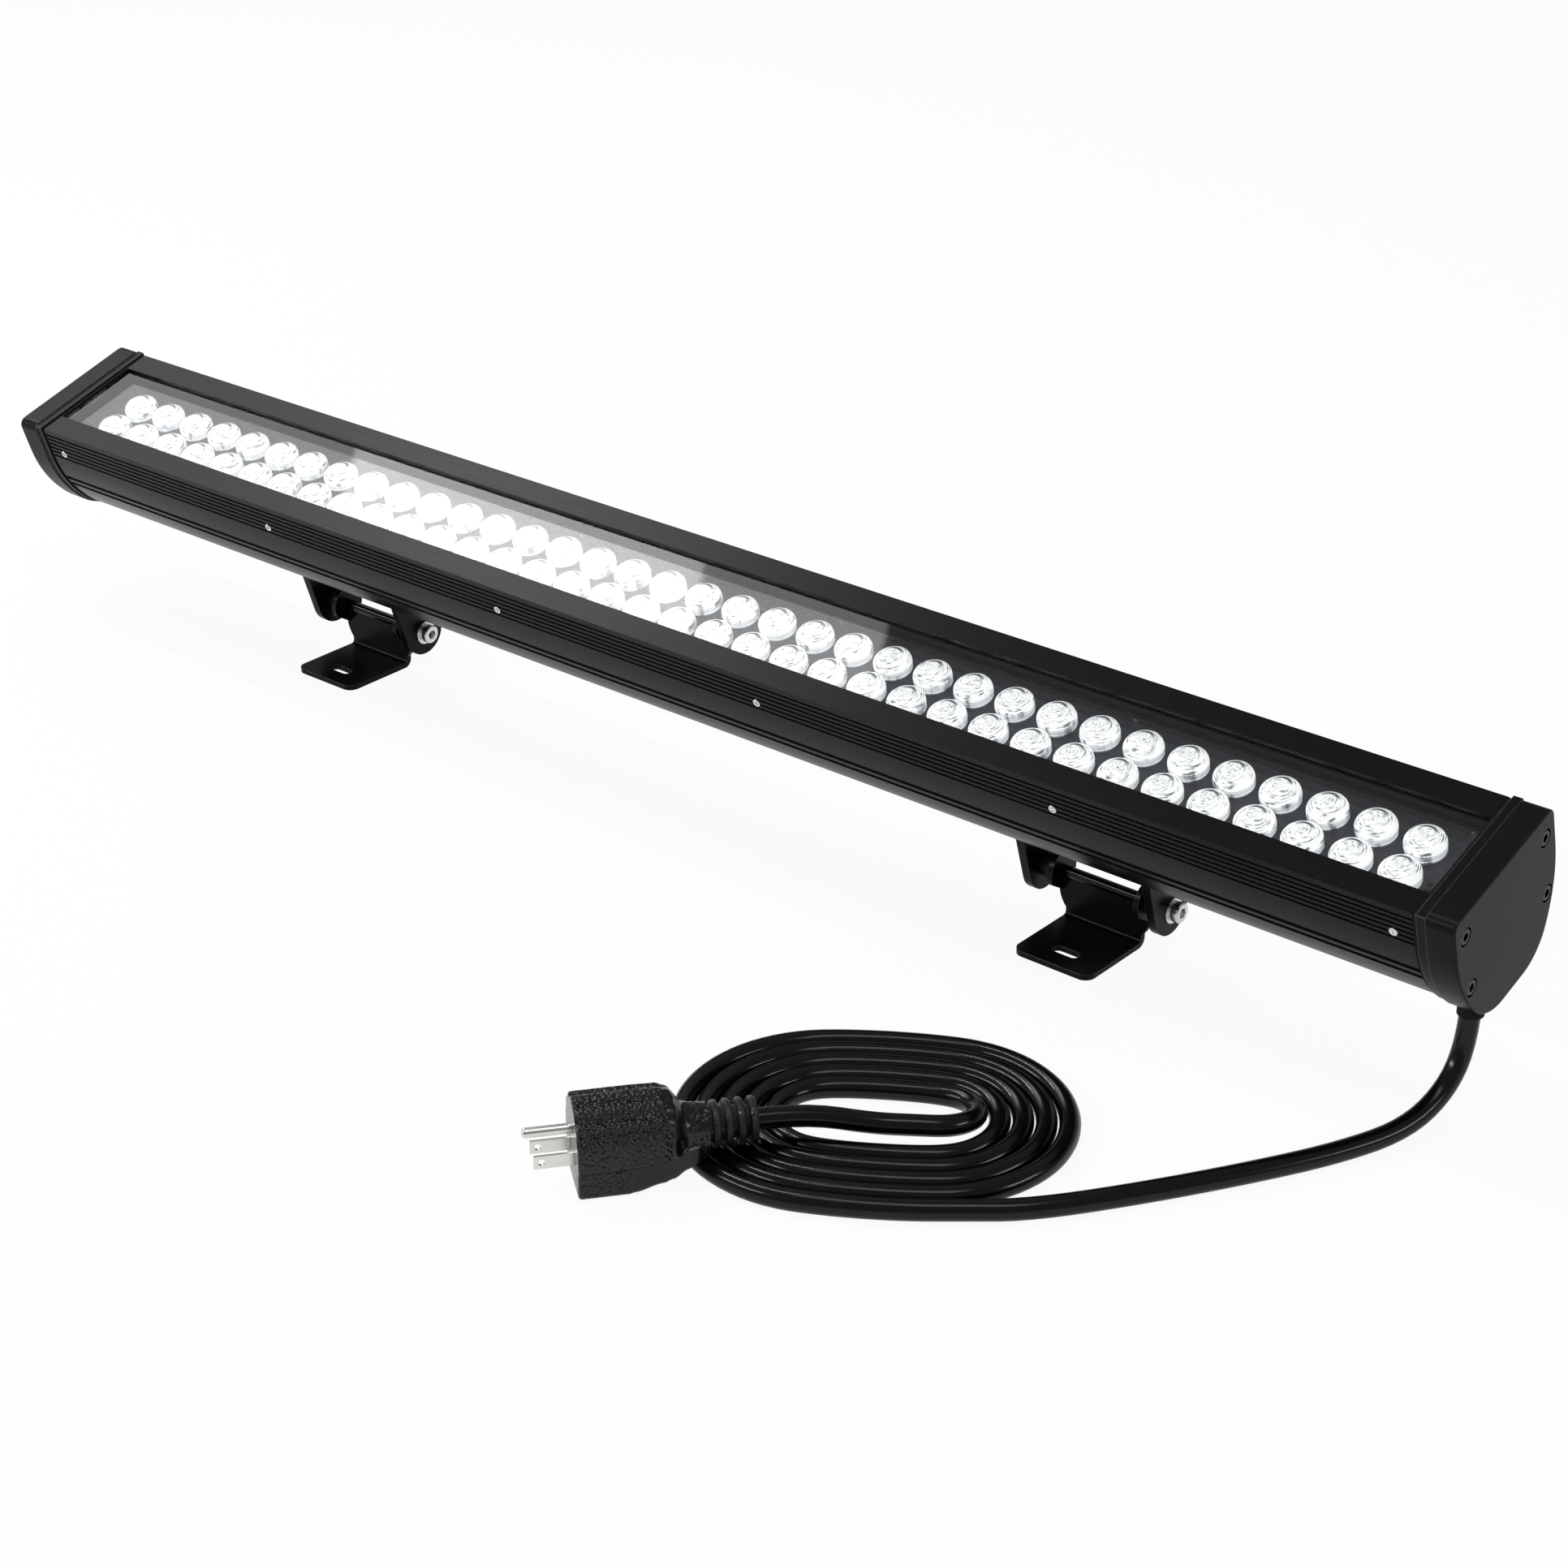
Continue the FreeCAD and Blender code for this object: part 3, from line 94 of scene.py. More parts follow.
class Finish:
    """One material: its node tree, and one method that adds any node to it."""

    def __init__(self, name):
        self.material = bpy.data.materials.new(name)
        self.material.use_nodes = True
        self.tree = self.material.node_tree
        self.tree.nodes.clear()

    def node(self, kind, settings, inputs, output=0):
        made = self.tree.nodes.new(kind)
        for name, value in settings.items():
            if name == "stops":
                self.ramp(made.color_ramp, value)
            else:
                setattr(made, name, value)
        for key, value in inputs.items():
            if isinstance(value, Socket):
                self.tree.links.new(value.socket, made.inputs[key])
            else:
                made.inputs[key].default_value = value
        return Socket(self, made.outputs[output]) if made.outputs else None

    def ramp(self, ramp, stops):
        while len(ramp.elements) > 1:
            ramp.elements.remove(ramp.elements[0])
        ramp.elements[0].position = stops[0][0]
        ramp.elements[0].color = stops[0][1]
        for position, colour in stops[1:]:
            ramp.elements.new(position).color = colour

    def place(self, scale=(1, 1, 1)):
        """Object coordinates, stretched."""
        where = self.node("ShaderNodeTexCoord", {}, {}, "Object")
        return self.node("ShaderNodeMapping", {}, {"Vector": where, "Scale": scale})

    def noise(self, scale, detail, stretch=(1, 1, 1)):
        inputs = {"Vector": self.place(stretch), "Scale": scale, "Detail": detail}
        return self.node("ShaderNodeTexNoise", {}, inputs)

    def blend(self, share, first, second):
        """One colour turning into another."""
        inputs = {0: share, 6: first, 7: second}
        return self.node("ShaderNodeMix", {"data_type": "RGBA"}, inputs, 2)

    def bump(self, height, depth, strength, normal=None):
        inputs = {"Height": height, "Distance": depth, "Strength": strength}
        if normal:
            inputs["Normal"] = normal
        return self.node("ShaderNodeBump", {}, inputs)

    def soft_edges(self, radius):
        """Normals rounded over the edges, as casting, tumbling and coating leave them."""
        return self.node("ShaderNodeBevel", {"samples": 4}, {"Radius": radius})

    def painted_highlight_mask(self, rounded):
        """One along the rounded edges, where a bright highlight is painted, else nought."""
        # painted highlight: this mask brightens coats along their edges in place of real highlights
        facing = self.node("ShaderNodeNewGeometry", {}, {}, "Normal")
        dot = {"operation": "DOT_PRODUCT"}
        alike = self.node("ShaderNodeVectorMath", dot, {0: rounded, 1: facing}, "Value")
        sharpness = 6
        return alike.math("MINIMUM", (1 - alike) * sharpness, 1.0)

    def surface(self, **values):
        inputs = {name.replace("_", " "): value for name, value in values.items()}
        return self.node("ShaderNodeBsdfPrincipled", {}, inputs)

    def done(self, shader):
        self.node("ShaderNodeOutputMaterial", {}, {"Surface": shader})
        return self.material


FLOOR_REACH = 9
pale = Finish("floor_paint")
ray = "ShaderNodeLightPath"
seen = pale.node(ray, {}, {}, "Is Camera Ray")
mirrored = pale.node(ray, {}, {}, "Is Glossy Ray")
through = pale.node(ray, {}, {}, "Is Transmission Ray")
matt = pale.node("ShaderNodeBsdfDiffuse", {}, {"Color": (0.86, 0.86, 0.85, 1)})
white = pale.node("ShaderNodeEmission", {}, {"Color": (1.0, 1.0, 0.998, 1), "Strength": 1.0})
share = seen * 0.93 + mirrored * 0.5 + through * 0.93
floor_mesh = bpy.data.meshes.new("floor")
corners = [(x * FLOOR_REACH, y * FLOOR_REACH, 0) for x, y in ((-1, -1), (1, -1), (1, 1), (-1, 1))]
floor_mesh.from_pydata(corners, [], [(0, 1, 2, 3)])
floor_mesh.materials.append(
    pale.done(pale.node("ShaderNodeMixShader", {}, {0: share, 1: matt, 2: white}))
)
floor = bpy.data.objects.new("floor", floor_mesh)
bpy.context.scene.collection.objects.link(floor)

# Studio: a white room, dimmer in what the black coats mirror, and lamps. Two soft boxes stand where
# the window mirrors them over its left half, and thin strips draw light lines along the cord.
world = bpy.data.worlds.new("studio")
world.use_nodes = True
bpy.context.scene.world = world
sky = world.node_tree
sky.nodes.clear()
path = sky.nodes.new("ShaderNodeLightPath")
strength = sky.nodes.new("ShaderNodeMapRange")
strength.inputs["To Min"].default_value = 0.3
strength.inputs["To Max"].default_value = 1.0
either = sky.nodes.new("ShaderNodeMath")
either.operation = "MAXIMUM"
sky.links.new(path.outputs["Is Camera Ray"], either.inputs[0])
sky.links.new(path.outputs["Is Transmission Ray"], either.inputs[1])
sky.links.new(either.outputs[0], strength.inputs["Value"])
backdrop = sky.nodes.new("ShaderNodeBackground")
backdrop.inputs["Color"].default_value = (1.0, 1.0, 0.998, 1)
sky.links.new(strength.outputs[0], backdrop.inputs["Strength"])
sky_end = sky.nodes.new("ShaderNodeOutputWorld")
sky.links.new(backdrop.outputs[0], sky_end.inputs["Surface"])


def softbox(name, place, aim, size, power, along=(1, 0, 0)):
    """A rectangular lamp that faces a point, with its first side as near along as it can be."""
    lamp_data = bpy.data.lights.new(name, "AREA")
    lamp_data.shape = "RECTANGLE"
    lamp_data.size, lamp_data.size_y = size
    lamp_data.energy = power
    lamp = bpy.data.objects.new(name, lamp_data)
    bpy.context.scene.collection.objects.link(lamp)
    back = (Vector(place) - Vector(aim)).normalized()
    side = (Vector(along) - back * back.dot(Vector(along))).normalized()
    turn = Matrix((side, back.cross(side), back)).transposed()
    lamp.matrix_world = Matrix.Translation(place) @ turn.to_4x4()


softbox("overhead_softbox", (0.6, -0.5, 2.3), (0.1, 0, 0), (1.4, 0.5), 8)
softbox("window_softbox", (-1.62, 0.62, 1.45), (-0.1, 0.0, 0.13), (1.3, 0.5), 3.8)
softbox("window_glare", (-1.35, 0.58, 1.43), (-0.1, 0.0, 0.13), (0.42, 0.42), 1.7)
softbox("overhead_strip", (-1.3, 0.0, 2.0), (0.1, 0, 0), (2.2, 0.05), 24)
softbox("front_strip", (-1.1, -1.7, 1.2), (0.1, 0, 0.05), (2.2, 0.08), 24)
softbox("end_strip", (2.3, 0.5, 0.9), (0.5, 0, 0.1), (0.3, 1.0), 9, (0, 0, 1))


# Mains cord: three cores in a round glossy black PVC sheath. It drops from the bush in the right
# end cap, runs over the floor into a flat coil of five turns, and climbs over the coil to the plug.
CORD_RADIUS = 0.0051
COIL_PITCH = 0.0107
COIL_TURNS = 5
COIL_INNER_RADIUS = 0.021
COIL_CENTRE_OFFSET = 0.023
COIL_CLIMB = math.radians(12)
COIL_TURN = math.radians(40)
PLUG_HEIGHT = 0.022
PLUG_TURN = math.radians(232)
COIL_PLACE = Matrix.Translation((0.2936, -0.1838, CORD_RADIUS)) @ Matrix.Rotation(
    COIL_TURN, 4, "Z"
)
by_coil = COIL_PLACE @ Vector((-0.057, -0.027, 0))
PLUG_PLACE = Matrix.Translation((by_coil.x, by_coil.y, PLUG_HEIGHT)) @ Matrix.Rotation(
    PLUG_TURN, 4, "Z"
)


def coil_points():
    """Points of the oval coil from its outer end inwards, in its own plane. Four fixed centres
    keep its turns one pitch apart, and the last end bend leans up out of the plane."""
    apart = 2 * COIL_CENTRE_OFFSET
    deep = (apart**2 - (COIL_PITCH / 2) ** 2) / COIL_PITCH
    sweep = math.degrees(math.atan2(apart, deep))
    right, left = Vector((apart / 2, 0, 0)), Vector((-apart / 2, 0, 0))
    front, far = right + Vector((0, deep, 0)), left - Vector((0, deep, 0))
    end_radius = COIL_INNER_RADIUS + (COIL_TURNS - 0.5) * COIL_PITCH
    points = []
    for turn in range(COIL_TURNS):
        bends = (
            (front, end_radius + deep + COIL_PITCH / 2, -90, sweep, 2),
            (left, end_radius, -90 - sweep, 180 - sweep, 7),
            (far, end_radius + deep, 90, sweep, 2),
            (right, end_radius - COIL_PITCH / 2, 90 - sweep, 180 - sweep, 7),
        )
        for centre, radius, start, span, count in bends:
            reach = radius / math.cos(math.radians(span / count / 2))
            bend = []
            for number in range(count):
                angle = math.radians(start - span * (number + 0.5) / count)
                bend.append(centre + Vector((math.cos(angle), math.sin(angle), 0)) * reach)
            points.append(bend)
        end_radius -= COIL_PITCH
    angle = math.radians(90 - sweep)
    base = right + Vector((math.cos(angle), math.sin(angle), 0)) * COIL_INNER_RADIUS
    heading = Vector((math.sin(angle), -math.cos(angle), 0))
    lean = (
        Matrix.Translation(base)
        @ Matrix.Rotation(-COIL_CLIMB, 4, heading)
        @ Matrix.Translation(-base)
    )
    points[-1] = [lean @ point for point in points[-1]]
    finish = lean @ (right - Vector((0, COIL_INNER_RADIUS, 0)))
    leave = lean.to_3x3() @ Vector((-1, 0, 0))
    outer = right - Vector((0, COIL_INNER_RADIUS + COIL_TURNS * COIL_PITCH, 0))
    return outer, [point for bend in points for point in bend], finish, leave


# straight stretches before and after the coil, and behind the strain relief
LONG_RUN = 0.0402
SHORT_RUN = 0.0102
CLIMB_RUN = 0.0272
RELIEF_RUN = 0.022
outer, turns, finish, leave = coil_points()
set_out = Vector((-1, 0, 0))
plug_axis = PLUG_PLACE.to_3x3() @ Vector((1, 0, 0))
relief_end = PLUG_PLACE.translation
cord_route = [
    Vector((0.491, -0.0004, 0.062)),
    Vector((0.491, -0.0004, 0.038)),
    Vector((0.490, -0.0144, 0.018)),
    Vector((0.485, -0.0404, 0.0075)),
    Vector((0.470, -0.0734, CORD_RADIUS)),
    Vector((0.449, -0.1114, CORD_RADIUS)),
    Vector((0.421, -0.1564, CORD_RADIUS)),
    COIL_PLACE @ (outer - set_out * LONG_RUN),
    COIL_PLACE @ (outer - set_out * SHORT_RUN),
]
cord_route += [COIL_PLACE @ point for point in turns]
cord_route += [
    COIL_PLACE @ (finish + leave * SHORT_RUN),
    COIL_PLACE @ (finish + leave * CLIMB_RUN),
    relief_end - plug_axis * RELIEF_RUN,
    relief_end,
]
cord_curve = bpy.data.curves.new("mains_cord", "CURVE")
cord_curve.dimensions = "3D"
cord_curve.bevel_depth = CORD_RADIUS
cord_curve.bevel_resolution = 6
cord_curve.resolution_u = 5
cord_curve.use_fill_caps = True
spline = cord_curve.splines.new("NURBS")
spline.points.add(len(cord_route) - 1)
for point, place in zip(spline.points, cord_route):
    point.co = (*place, 1)
spline.order_u = 3
spline.use_endpoint_u = True
mains_cord = bpy.data.objects.new("mains_cord", cord_curve)
bpy.context.scene.collection.objects.link(mains_cord)

sheath = Finish("cord_sheath")
cloud = sheath.noise(90, 3)
fine = sheath.noise(1400, 2)
mains_cord.data.materials.append(
    sheath.done(
        sheath.surface(
            Base_Color=sheath.blend(cloud, (0.0012, 0.0012, 0.0012, 1), (0.003, 0.003, 0.0032, 1)),
            Roughness=0.12 + cloud * 0.1,
            Specular_IOR_Level=0.28,
            Normal=sheath.bump(fine, 0.00004, 0.5),
        )
    )
)
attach(mains_cord, "lamp")
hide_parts("power_cord", "cord_coil", "cord_tail")


# Plug: black PVC moulded round two flat blades and a round earth pin. The leather-grained grip
# has lengthwise scoops and stands proud of the block below it, and both run into a bare neck.
def smooth(share):
    return share * share * (3 - 2 * share)


def between(stations, along):
    """The sizes at one place along a moulding, easing from one station to the next."""
    for near, far in zip(stations, stations[1:]):
        if near[0] <= along <= far[0]:
            share = smooth((along - near[0]) / (far[0] - near[0]))
            return [a + (b - a) * share for a, b in zip(near[1:], far[1:])]


def skin(name, rings, marks):
    """A closed mesh over rings of points, with one number per ring point kept as its grain."""
    body = bmesh.new()
    grain = body.verts.layers.float.new("grain")
    loops = []
    for ring, values in zip(rings, marks):
        loop = [body.verts.new(point) for point in ring]
        for vert, value in zip(loop, values):
            vert[grain] = value
        loops.append(loop)
    for near, far in zip(loops, loops[1:]):
        for number in range(len(near)):
            after = (number + 1) % len(near)
            body.faces.new((near[number], near[after], far[after], far[number]))
    for loop in (loops[0], loops[-1]):
        middle = body.verts.new(sum((vert.co for vert in loop), Vector()) / len(loop))
        for number in range(len(loop)):
            body.faces.new((loop[number], loop[(number + 1) % len(loop)], middle))
    bmesh.ops.recalc_face_normals(body, faces=body.faces)
    for face in body.faces:
        face.smooth = True
    mesh = bpy.data.meshes.new(name)
    body.to_mesh(mesh)
    body.free()
    mesh.set_sharp_from_angle(angle=math.radians(32))
    return mesh


# along, block half width, grip half width, bottom, top, grip's lower edge, scoops, grain of grip
# and grain of block, in millimetres from the cord end of the strain relief
PLUG_STATIONS = (
    (23.0, 10.8, 10.6, -10.9, 10.6, -1.6, 0, 0.3, 0),
    (30.5, 12.6, 10.9, -14.0, 11.2, -3.2, 0, 0.3, 0),
    (33.0, 13.2, 11.4, -15.0, 12.0, -3.8, 0, 0.0, 0),
    (41.0, 15.2, 17.4, -18.0, 20.6, -5.6, 0.35, 0.0, 0),
    (45.0, 15.9, 18.6, -19.0, 22.2, -6.2, 0.9, 1, 0),
    (59.0, 17.4, 19.0, -21.2, 22.5, -7.2, 1, 1, 0),
    (60.5, 17.7, 19.0, -21.5, 22.5, -7.3, 1, 1, 1),
    (82.6, 17.7, 19.0, -21.5, 22.5, -7.5, 1, 1, 1),
    (83.6, 17.4, 18.7, -21.2, 22.2, -7.5, 0.9, 0, 0),
    (84.0, 16.8, 18.1, -20.6, 21.6, -7.5, 0.8, 0, 0),
)
# where each scoop lies round the grip, and how wide it is, in degrees
SCOOPS = ((18, 9), (46, 9), (74, 8))
SCOOP_DEPTH = 2.0
BLOCK_CORNER = 2.5
RING_STEP = 1.3
RING_COUNT = 47
GRIP_STEPS = 24
# the step from the block out to the grip, below and above the grip's lower edge
STEP_BELOW = 0.8
STEP_ABOVE = 0.6


def plug_ring(along):
    """One outline across the plug, from the middle of its flat bottom round to it again."""
    block, grip, bottom, top, edge, scooped, grip_grain, block_grain = between(
        PLUG_STATIONS, along
    )
    side = [(block * share, bottom, 0) for share in (0.0, 0.3, 0.6)]
    for angle in (-90, -60, -30, 0):
        turn = math.radians(angle)
        corner = (block - BLOCK_CORNER, bottom + BLOCK_CORNER)
        y = corner[0] + BLOCK_CORNER * math.cos(turn)
        side.append((y, corner[1] + BLOCK_CORNER * math.sin(turn), block_grain))
    low = bottom + BLOCK_CORNER
    high = edge - STEP_BELOW
    side += [(block, low + (high - low) * share, block_grain) for share in (0.33, 0.66, 1)]
    side.append((block + (grip - block) * 0.7, edge - 0.1, 0))
    low, knee = edge + STEP_ABOVE, top - grip
    side += [(grip, low + (knee - low) * share, grip_grain) for share in (0, 0.5, 1)]
    for number in range(1, GRIP_STEPS + 1):
        angle = number * 90 / GRIP_STEPS
        scoop = sum(math.exp(-(((angle - at) / wide) ** 2)) for at, wide in SCOOPS)
        radius = grip - SCOOP_DEPTH * scooped * scoop
        turn = math.radians(angle)
        side.append((radius * math.cos(turn), knee + radius * math.sin(turn), grip_grain))
    across = side + [(-y, z, mark) for y, z, mark in reversed(side[1:-1])]
    points = [PLUG_PLACE @ (Vector((along, y, z)) / 1000) for y, z, mark in across]
    return points, [mark for y, z, mark in across]


places = [PLUG_STATIONS[0][0] + RING_STEP * number for number in range(RING_COUNT)]
places += [83.2, 83.6, PLUG_STATIONS[-1][0]]  # closer rings at the rounded front edge
rings, marks = zip(*[plug_ring(along) for along in places])
plug_mesh = skin("plug_moulding", rings, marks)
plug_moulding = bpy.data.objects.new("plug_moulding", plug_mesh)
bpy.context.scene.collection.objects.link(plug_moulding)

moulded = Finish("plug_pvc")
grained = moulded.node("ShaderNodeAttribute", {"attribute_name": "grain"}, {}, "Fac")
cells = moulded.node(
    "ShaderNodeTexVoronoi",
    {"feature": "SMOOTH_F1"},
    {"Vector": moulded.place(), "Scale": 560.0, "Smoothness": 0.3},
    "Distance",
)
speck = moulded.noise(1500, 3)
plug_pvc = moulded.done(
    moulded.surface(
        Base_Color=moulded.blend(speck, (0.0015, 0.0015, 0.0015, 1), (0.004, 0.004, 0.004, 1)),
        Roughness=0.16 + grained * 0.08 + speck * 0.06,
        Specular_IOR_Level=0.4,
        Normal=moulded.bump(grained * (1 - cells) + speck * 0.05, 0.0013, 1.0),
    )
)
plug_mesh.materials.append(plug_pvc)
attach(plug_moulding, "lamp")
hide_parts("plug_body")


# Strain relief: a tapered sleeve of the same PVC, moulded on the cord, with four thick ribs round
# it, so that it bends evenly. Its skin is coarsely pitted.
class Pattern:
    """Geometry nodes with named inputs. Each piece made with them is a plain mesh."""

    def __init__(self, name):
        self.tree = bpy.data.node_groups.new(name, "GeometryNodeTree")
        sockets = self.tree.interface
        sockets.new_socket("Geometry", in_out="OUTPUT", socket_type="NodeSocketGeometry")
        self.given = self.tree.nodes.new("NodeGroupInput")
        self.names = {}

    def given_size(self, name, kind):
        made = self.tree.interface.new_socket(
            name, in_out="INPUT", socket_type=f"NodeSocket{kind}"
        )
        self.names[name] = made.identifier
        return self.given.outputs[name]

    def node(self, kind, settings, inputs, output=0):
        made = self.tree.nodes.new(kind)
        for name, value in settings.items():
            setattr(made, name, value)
        for key, value in inputs.items():
            if isinstance(value, bpy.types.NodeSocket):
                self.tree.links.new(value, made.inputs[key])
            else:
                made.inputs[key].default_value = value
        return made.outputs[output]

    def close(self, shapes):
        finish = self.given_size("Finish", "Material")
        solid = self.node("GeometryNodeRealizeInstances", {}, {0: shapes})
        coated = self.node("GeometryNodeSetMaterial", {}, {0: solid, "Material": finish})
        self.tree.links.new(coated, self.tree.nodes.new("NodeGroupOutput").inputs[0])

    def piece(self, name, place, **values):
        """Runs the tree on these sizes, and puts the mesh that it makes in its place."""
        made = bpy.data.objects.new(name, bpy.data.meshes.new(f"{name}_blank"))
        bpy.context.scene.collection.objects.link(made)
        modifier = made.modifiers.new(name, "NODES")
        modifier.node_group = self.tree
        for key, value in values.items():
            modifier[self.names[key.replace("_", " ")]] = value
        graph = bpy.context.evaluated_depsgraph_get()
        mesh = bpy.data.meshes.new_from_object(made.evaluated_get(graph))
        made.modifiers.remove(modifier)
        made.data = mesh
        mesh.name = name
        mesh.transform(place)
        return made


def turned(name, profile, sides, axis="Z"):
    """A closed mesh of points (radius, height), turned about an axis, both in millimetres."""
    body = bmesh.new()
    loops = []
    for radius, height in profile:
        if radius == 0:
            loops.append([body.verts.new((0, 0, height / 1000))] * sides)
            continue
        angles = [2 * math.pi * number / sides for number in range(sides)]
        loops.append([
            body.verts.new(Vector((radius * math.cos(a), radius * math.sin(a), height)) / 1000)
            for a in angles
        ])
    closed = [] if profile[0][0] == 0 else [(loops[-1], loops[0])]
    for near, far in list(zip(loops, loops[1:])) + closed:
        for number in range(sides):
            after = (number + 1) % sides
            corners = [near[number], near[after], far[after], far[number]]
            body.faces.new(dict.fromkeys(corners))
    bmesh.ops.recalc_face_normals(body, faces=body.faces)
    for face in body.faces:
        face.smooth = True
    if axis == "X":
        bmesh.ops.rotate(body, verts=body.verts, matrix=Matrix.Rotation(math.radians(90), 3, "Y"))
    mesh = bpy.data.meshes.new(name)
    body.to_mesh(mesh)
    body.free()
    mesh.set_sharp_from_angle(angle=math.radians(32))
    made = bpy.data.objects.new(name, mesh)
    bpy.context.scene.collection.objects.link(made)
    return made


RIB_PITCH = 5.75
relief_core = turned(
    "relief_core",
    [(0, 0.3), (6.0, 0.3), (7.0, 1.2), (7.6, 12), (8.6, 22.9), (0, 22.9)],
    48,
    "X",
)
relief_rib = turned(
    "relief_rib",
    [(6, 0.3), (9, 0.3), (10.4, 0.7), (11, 1.5), (11, 2.9), (10.4, 3.7), (9, 4.1), (6, 4.1)],
    48,
    "X",
)
ribbed = Pattern("ribbed_sleeve")
line = ribbed.node(
    "GeometryNodeMeshLine",
    {"mode": "OFFSET"},
    {
        "Count": ribbed.given_size("Rib count", "Int"),
        "Offset": ribbed.node(
            "ShaderNodeCombineXYZ", {}, {"X": ribbed.given_size("Rib pitch", "Float")}
        ),
    },
)
shape_of = "GeometryNodeObjectInfo"
rib = ribbed.node(shape_of, {}, {0: ribbed.given_size("Rib", "Object")}, "Geometry")
core = ribbed.node(shape_of, {}, {0: ribbed.given_size("Core", "Object")}, "Geometry")
ribs = ribbed.node("GeometryNodeInstanceOnPoints", {}, {"Points": line, "Instance": rib})
both = ribbed.tree.nodes.new("GeometryNodeJoinGeometry")
ribbed.tree.links.new(core, both.inputs[0])
ribbed.tree.links.new(ribs, both.inputs[0])
ribbed.close(both.outputs[0])

pitted = Finish("relief_pvc")
pits = pitted.noise(1300, 4)
coarse = pitted.node(
    "ShaderNodeValToRGB", {"stops": [(0.42, (0, 0, 0, 1)), (0.6, (1, 1, 1, 1))]}, {"Fac": pits}
)
strain_relief = ribbed.piece(
    "strain_relief",
    PLUG_PLACE,
    Rib_count=4,
    Rib_pitch=RIB_PITCH / 1000,
    Rib=relief_rib,
    Core=relief_core,
    Finish=pitted.done(
        pitted.surface(
            Base_Color=pitted.blend(pits, (0.0015, 0.0015, 0.0015, 1), (0.006, 0.006, 0.006, 1)),
            Roughness=0.18 + pits * 0.12,
            Specular_IOR_Level=0.45,
            Normal=pitted.bump(coarse, 0.0003, 0.8),
        )
    ),
)
bpy.data.objects.remove(relief_core)
bpy.data.objects.remove(relief_rib)
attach(strain_relief, "lamp")
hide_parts("plug_strain_relief")


# Housing: one aluminium extrusion with fine ribs and a smooth belly, black anodised. The die has
# left faint lines along it, and the anodising is a little cloudy.
def dress(material, *nodes):
    """Gives CAD pieces a finish."""
    for name in nodes:
        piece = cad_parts[name]
        piece.data.materials.clear()
        piece.data.materials.append(material)


anodised = Finish("black_anodised")
die_lines = anodised.noise(60, 3, (0.4, 30, 30))
cloud = anodised.noise(7, 3)
rounded = anodised.soft_edges(0.0003)
dress(
    anodised.done(
        anodised.surface(
            Base_Color=anodised.blend(
                cloud, (0.0018, 0.0018, 0.0022, 1), (0.0036, 0.0036, 0.0042, 1)
            ),
            Roughness=0.22 + die_lines * 0.12,
            Specular_IOR_Level=0.13,
            Normal=anodised.bump(die_lines, 0.00002, 0.5, rounded),
        )
    ),
    "housing_extrusion",
)

# End caps: die-cast aluminium with a satin black coat, slightly orange-peeled, with a painted
# highlight along the edges. Four sunk screws hold each one to the bar over a rubber gasket.
cast = Finish("cast_cap_coat")
peel = cast.noise(1100, 2)
cloud = cast.noise(20, 3)
rounded = cast.soft_edges(0.0005)
painted_edge_highlight = cast.painted_highlight_mask(rounded)
black = cast.blend(cloud, (0.0022, 0.0022, 0.0026, 1), (0.0042, 0.0042, 0.0048, 1))
dress(
    cast.done(
        cast.surface(
            # painted highlight: a grey, partly metallic line along the edges of the black coat
            Base_Color=cast.blend(painted_edge_highlight, black, (0.2, 0.2, 0.21, 1)),
            Metallic=painted_edge_highlight * 0.6,
            Roughness=0.3 + cloud * 0.1,
            Specular_IOR_Level=0.11,
            Normal=cast.bump(peel, 0.00005, 0.35, rounded),
        )
    ),
    "left_end_cap",
    "right_end_cap",
)

# Gaskets, window seals and cord bush: black rubber, cut from sheet or moulded, and held by the
# parts that they lie between. It is dull, with a gritty skin.
rubber = Finish("seal_rubber")
grit = rubber.noise(900, 3)
dress(
    rubber.done(
        rubber.surface(
            Base_Color=rubber.blend(grit, (0.003, 0.003, 0.003, 1), (0.007, 0.007, 0.007, 1)),
            Roughness=0.62 + grit * 0.2,
            Specular_IOR_Level=0.15,
            Normal=rubber.bump(grit, 0.00006, 0.4),
        )
    ),
    "left_end_gasket",
    "right_end_gasket",
    "front_glass_seal",
    "rear_glass_seal",
    "cord_bush",
)

# Cap screws, panel screws and pivot spacers: steel turned to size and blackened in an oxide bath,
# with a little wear. The spacers keep each foot's ears off the ears of its saddle.
oxide = Finish("black_oxide_steel")
wear = oxide.noise(700, 3)
dress(
    oxide.done(
        oxide.surface(
            Base_Color=oxide.blend(wear, (0.010, 0.010, 0.011, 1), (0.04, 0.04, 0.042, 1)),
            Metallic=0.7,
            Roughness=0.28 + wear * 0.15,
            Normal=oxide.soft_edges(0.0003),
        )
    ),
    "left_cap_screws",
    "right_cap_screws",
    "panel_screws",
    "left_pivot_spacers",
    "right_pivot_spacers",
)

# Window: one long pane of clear tempered glass, cut and polished. It lies on its two rubber seals
# under the lips of the rails, and mirrors the room more the flatter it is seen.
glass = Finish("tempered_glass")
facing = glass.node("ShaderNodeLayerWeight", {}, {"Blend": 0.5}, "Facing")
clear = glass.node("ShaderNodeBsdfTransparent", {}, {"Color": (0.98, 0.99, 0.985, 1)})
gloss = glass.surface(Base_Color=(1, 1, 1, 1), Metallic=1.0, Roughness=0.03)
dress(
    glass.done(
        glass.node("ShaderNodeMixShader", {}, {0: 0.045 + facing**5 * 0.9, 1: clear, 2: gloss})
    ),
    "window_glass",
)

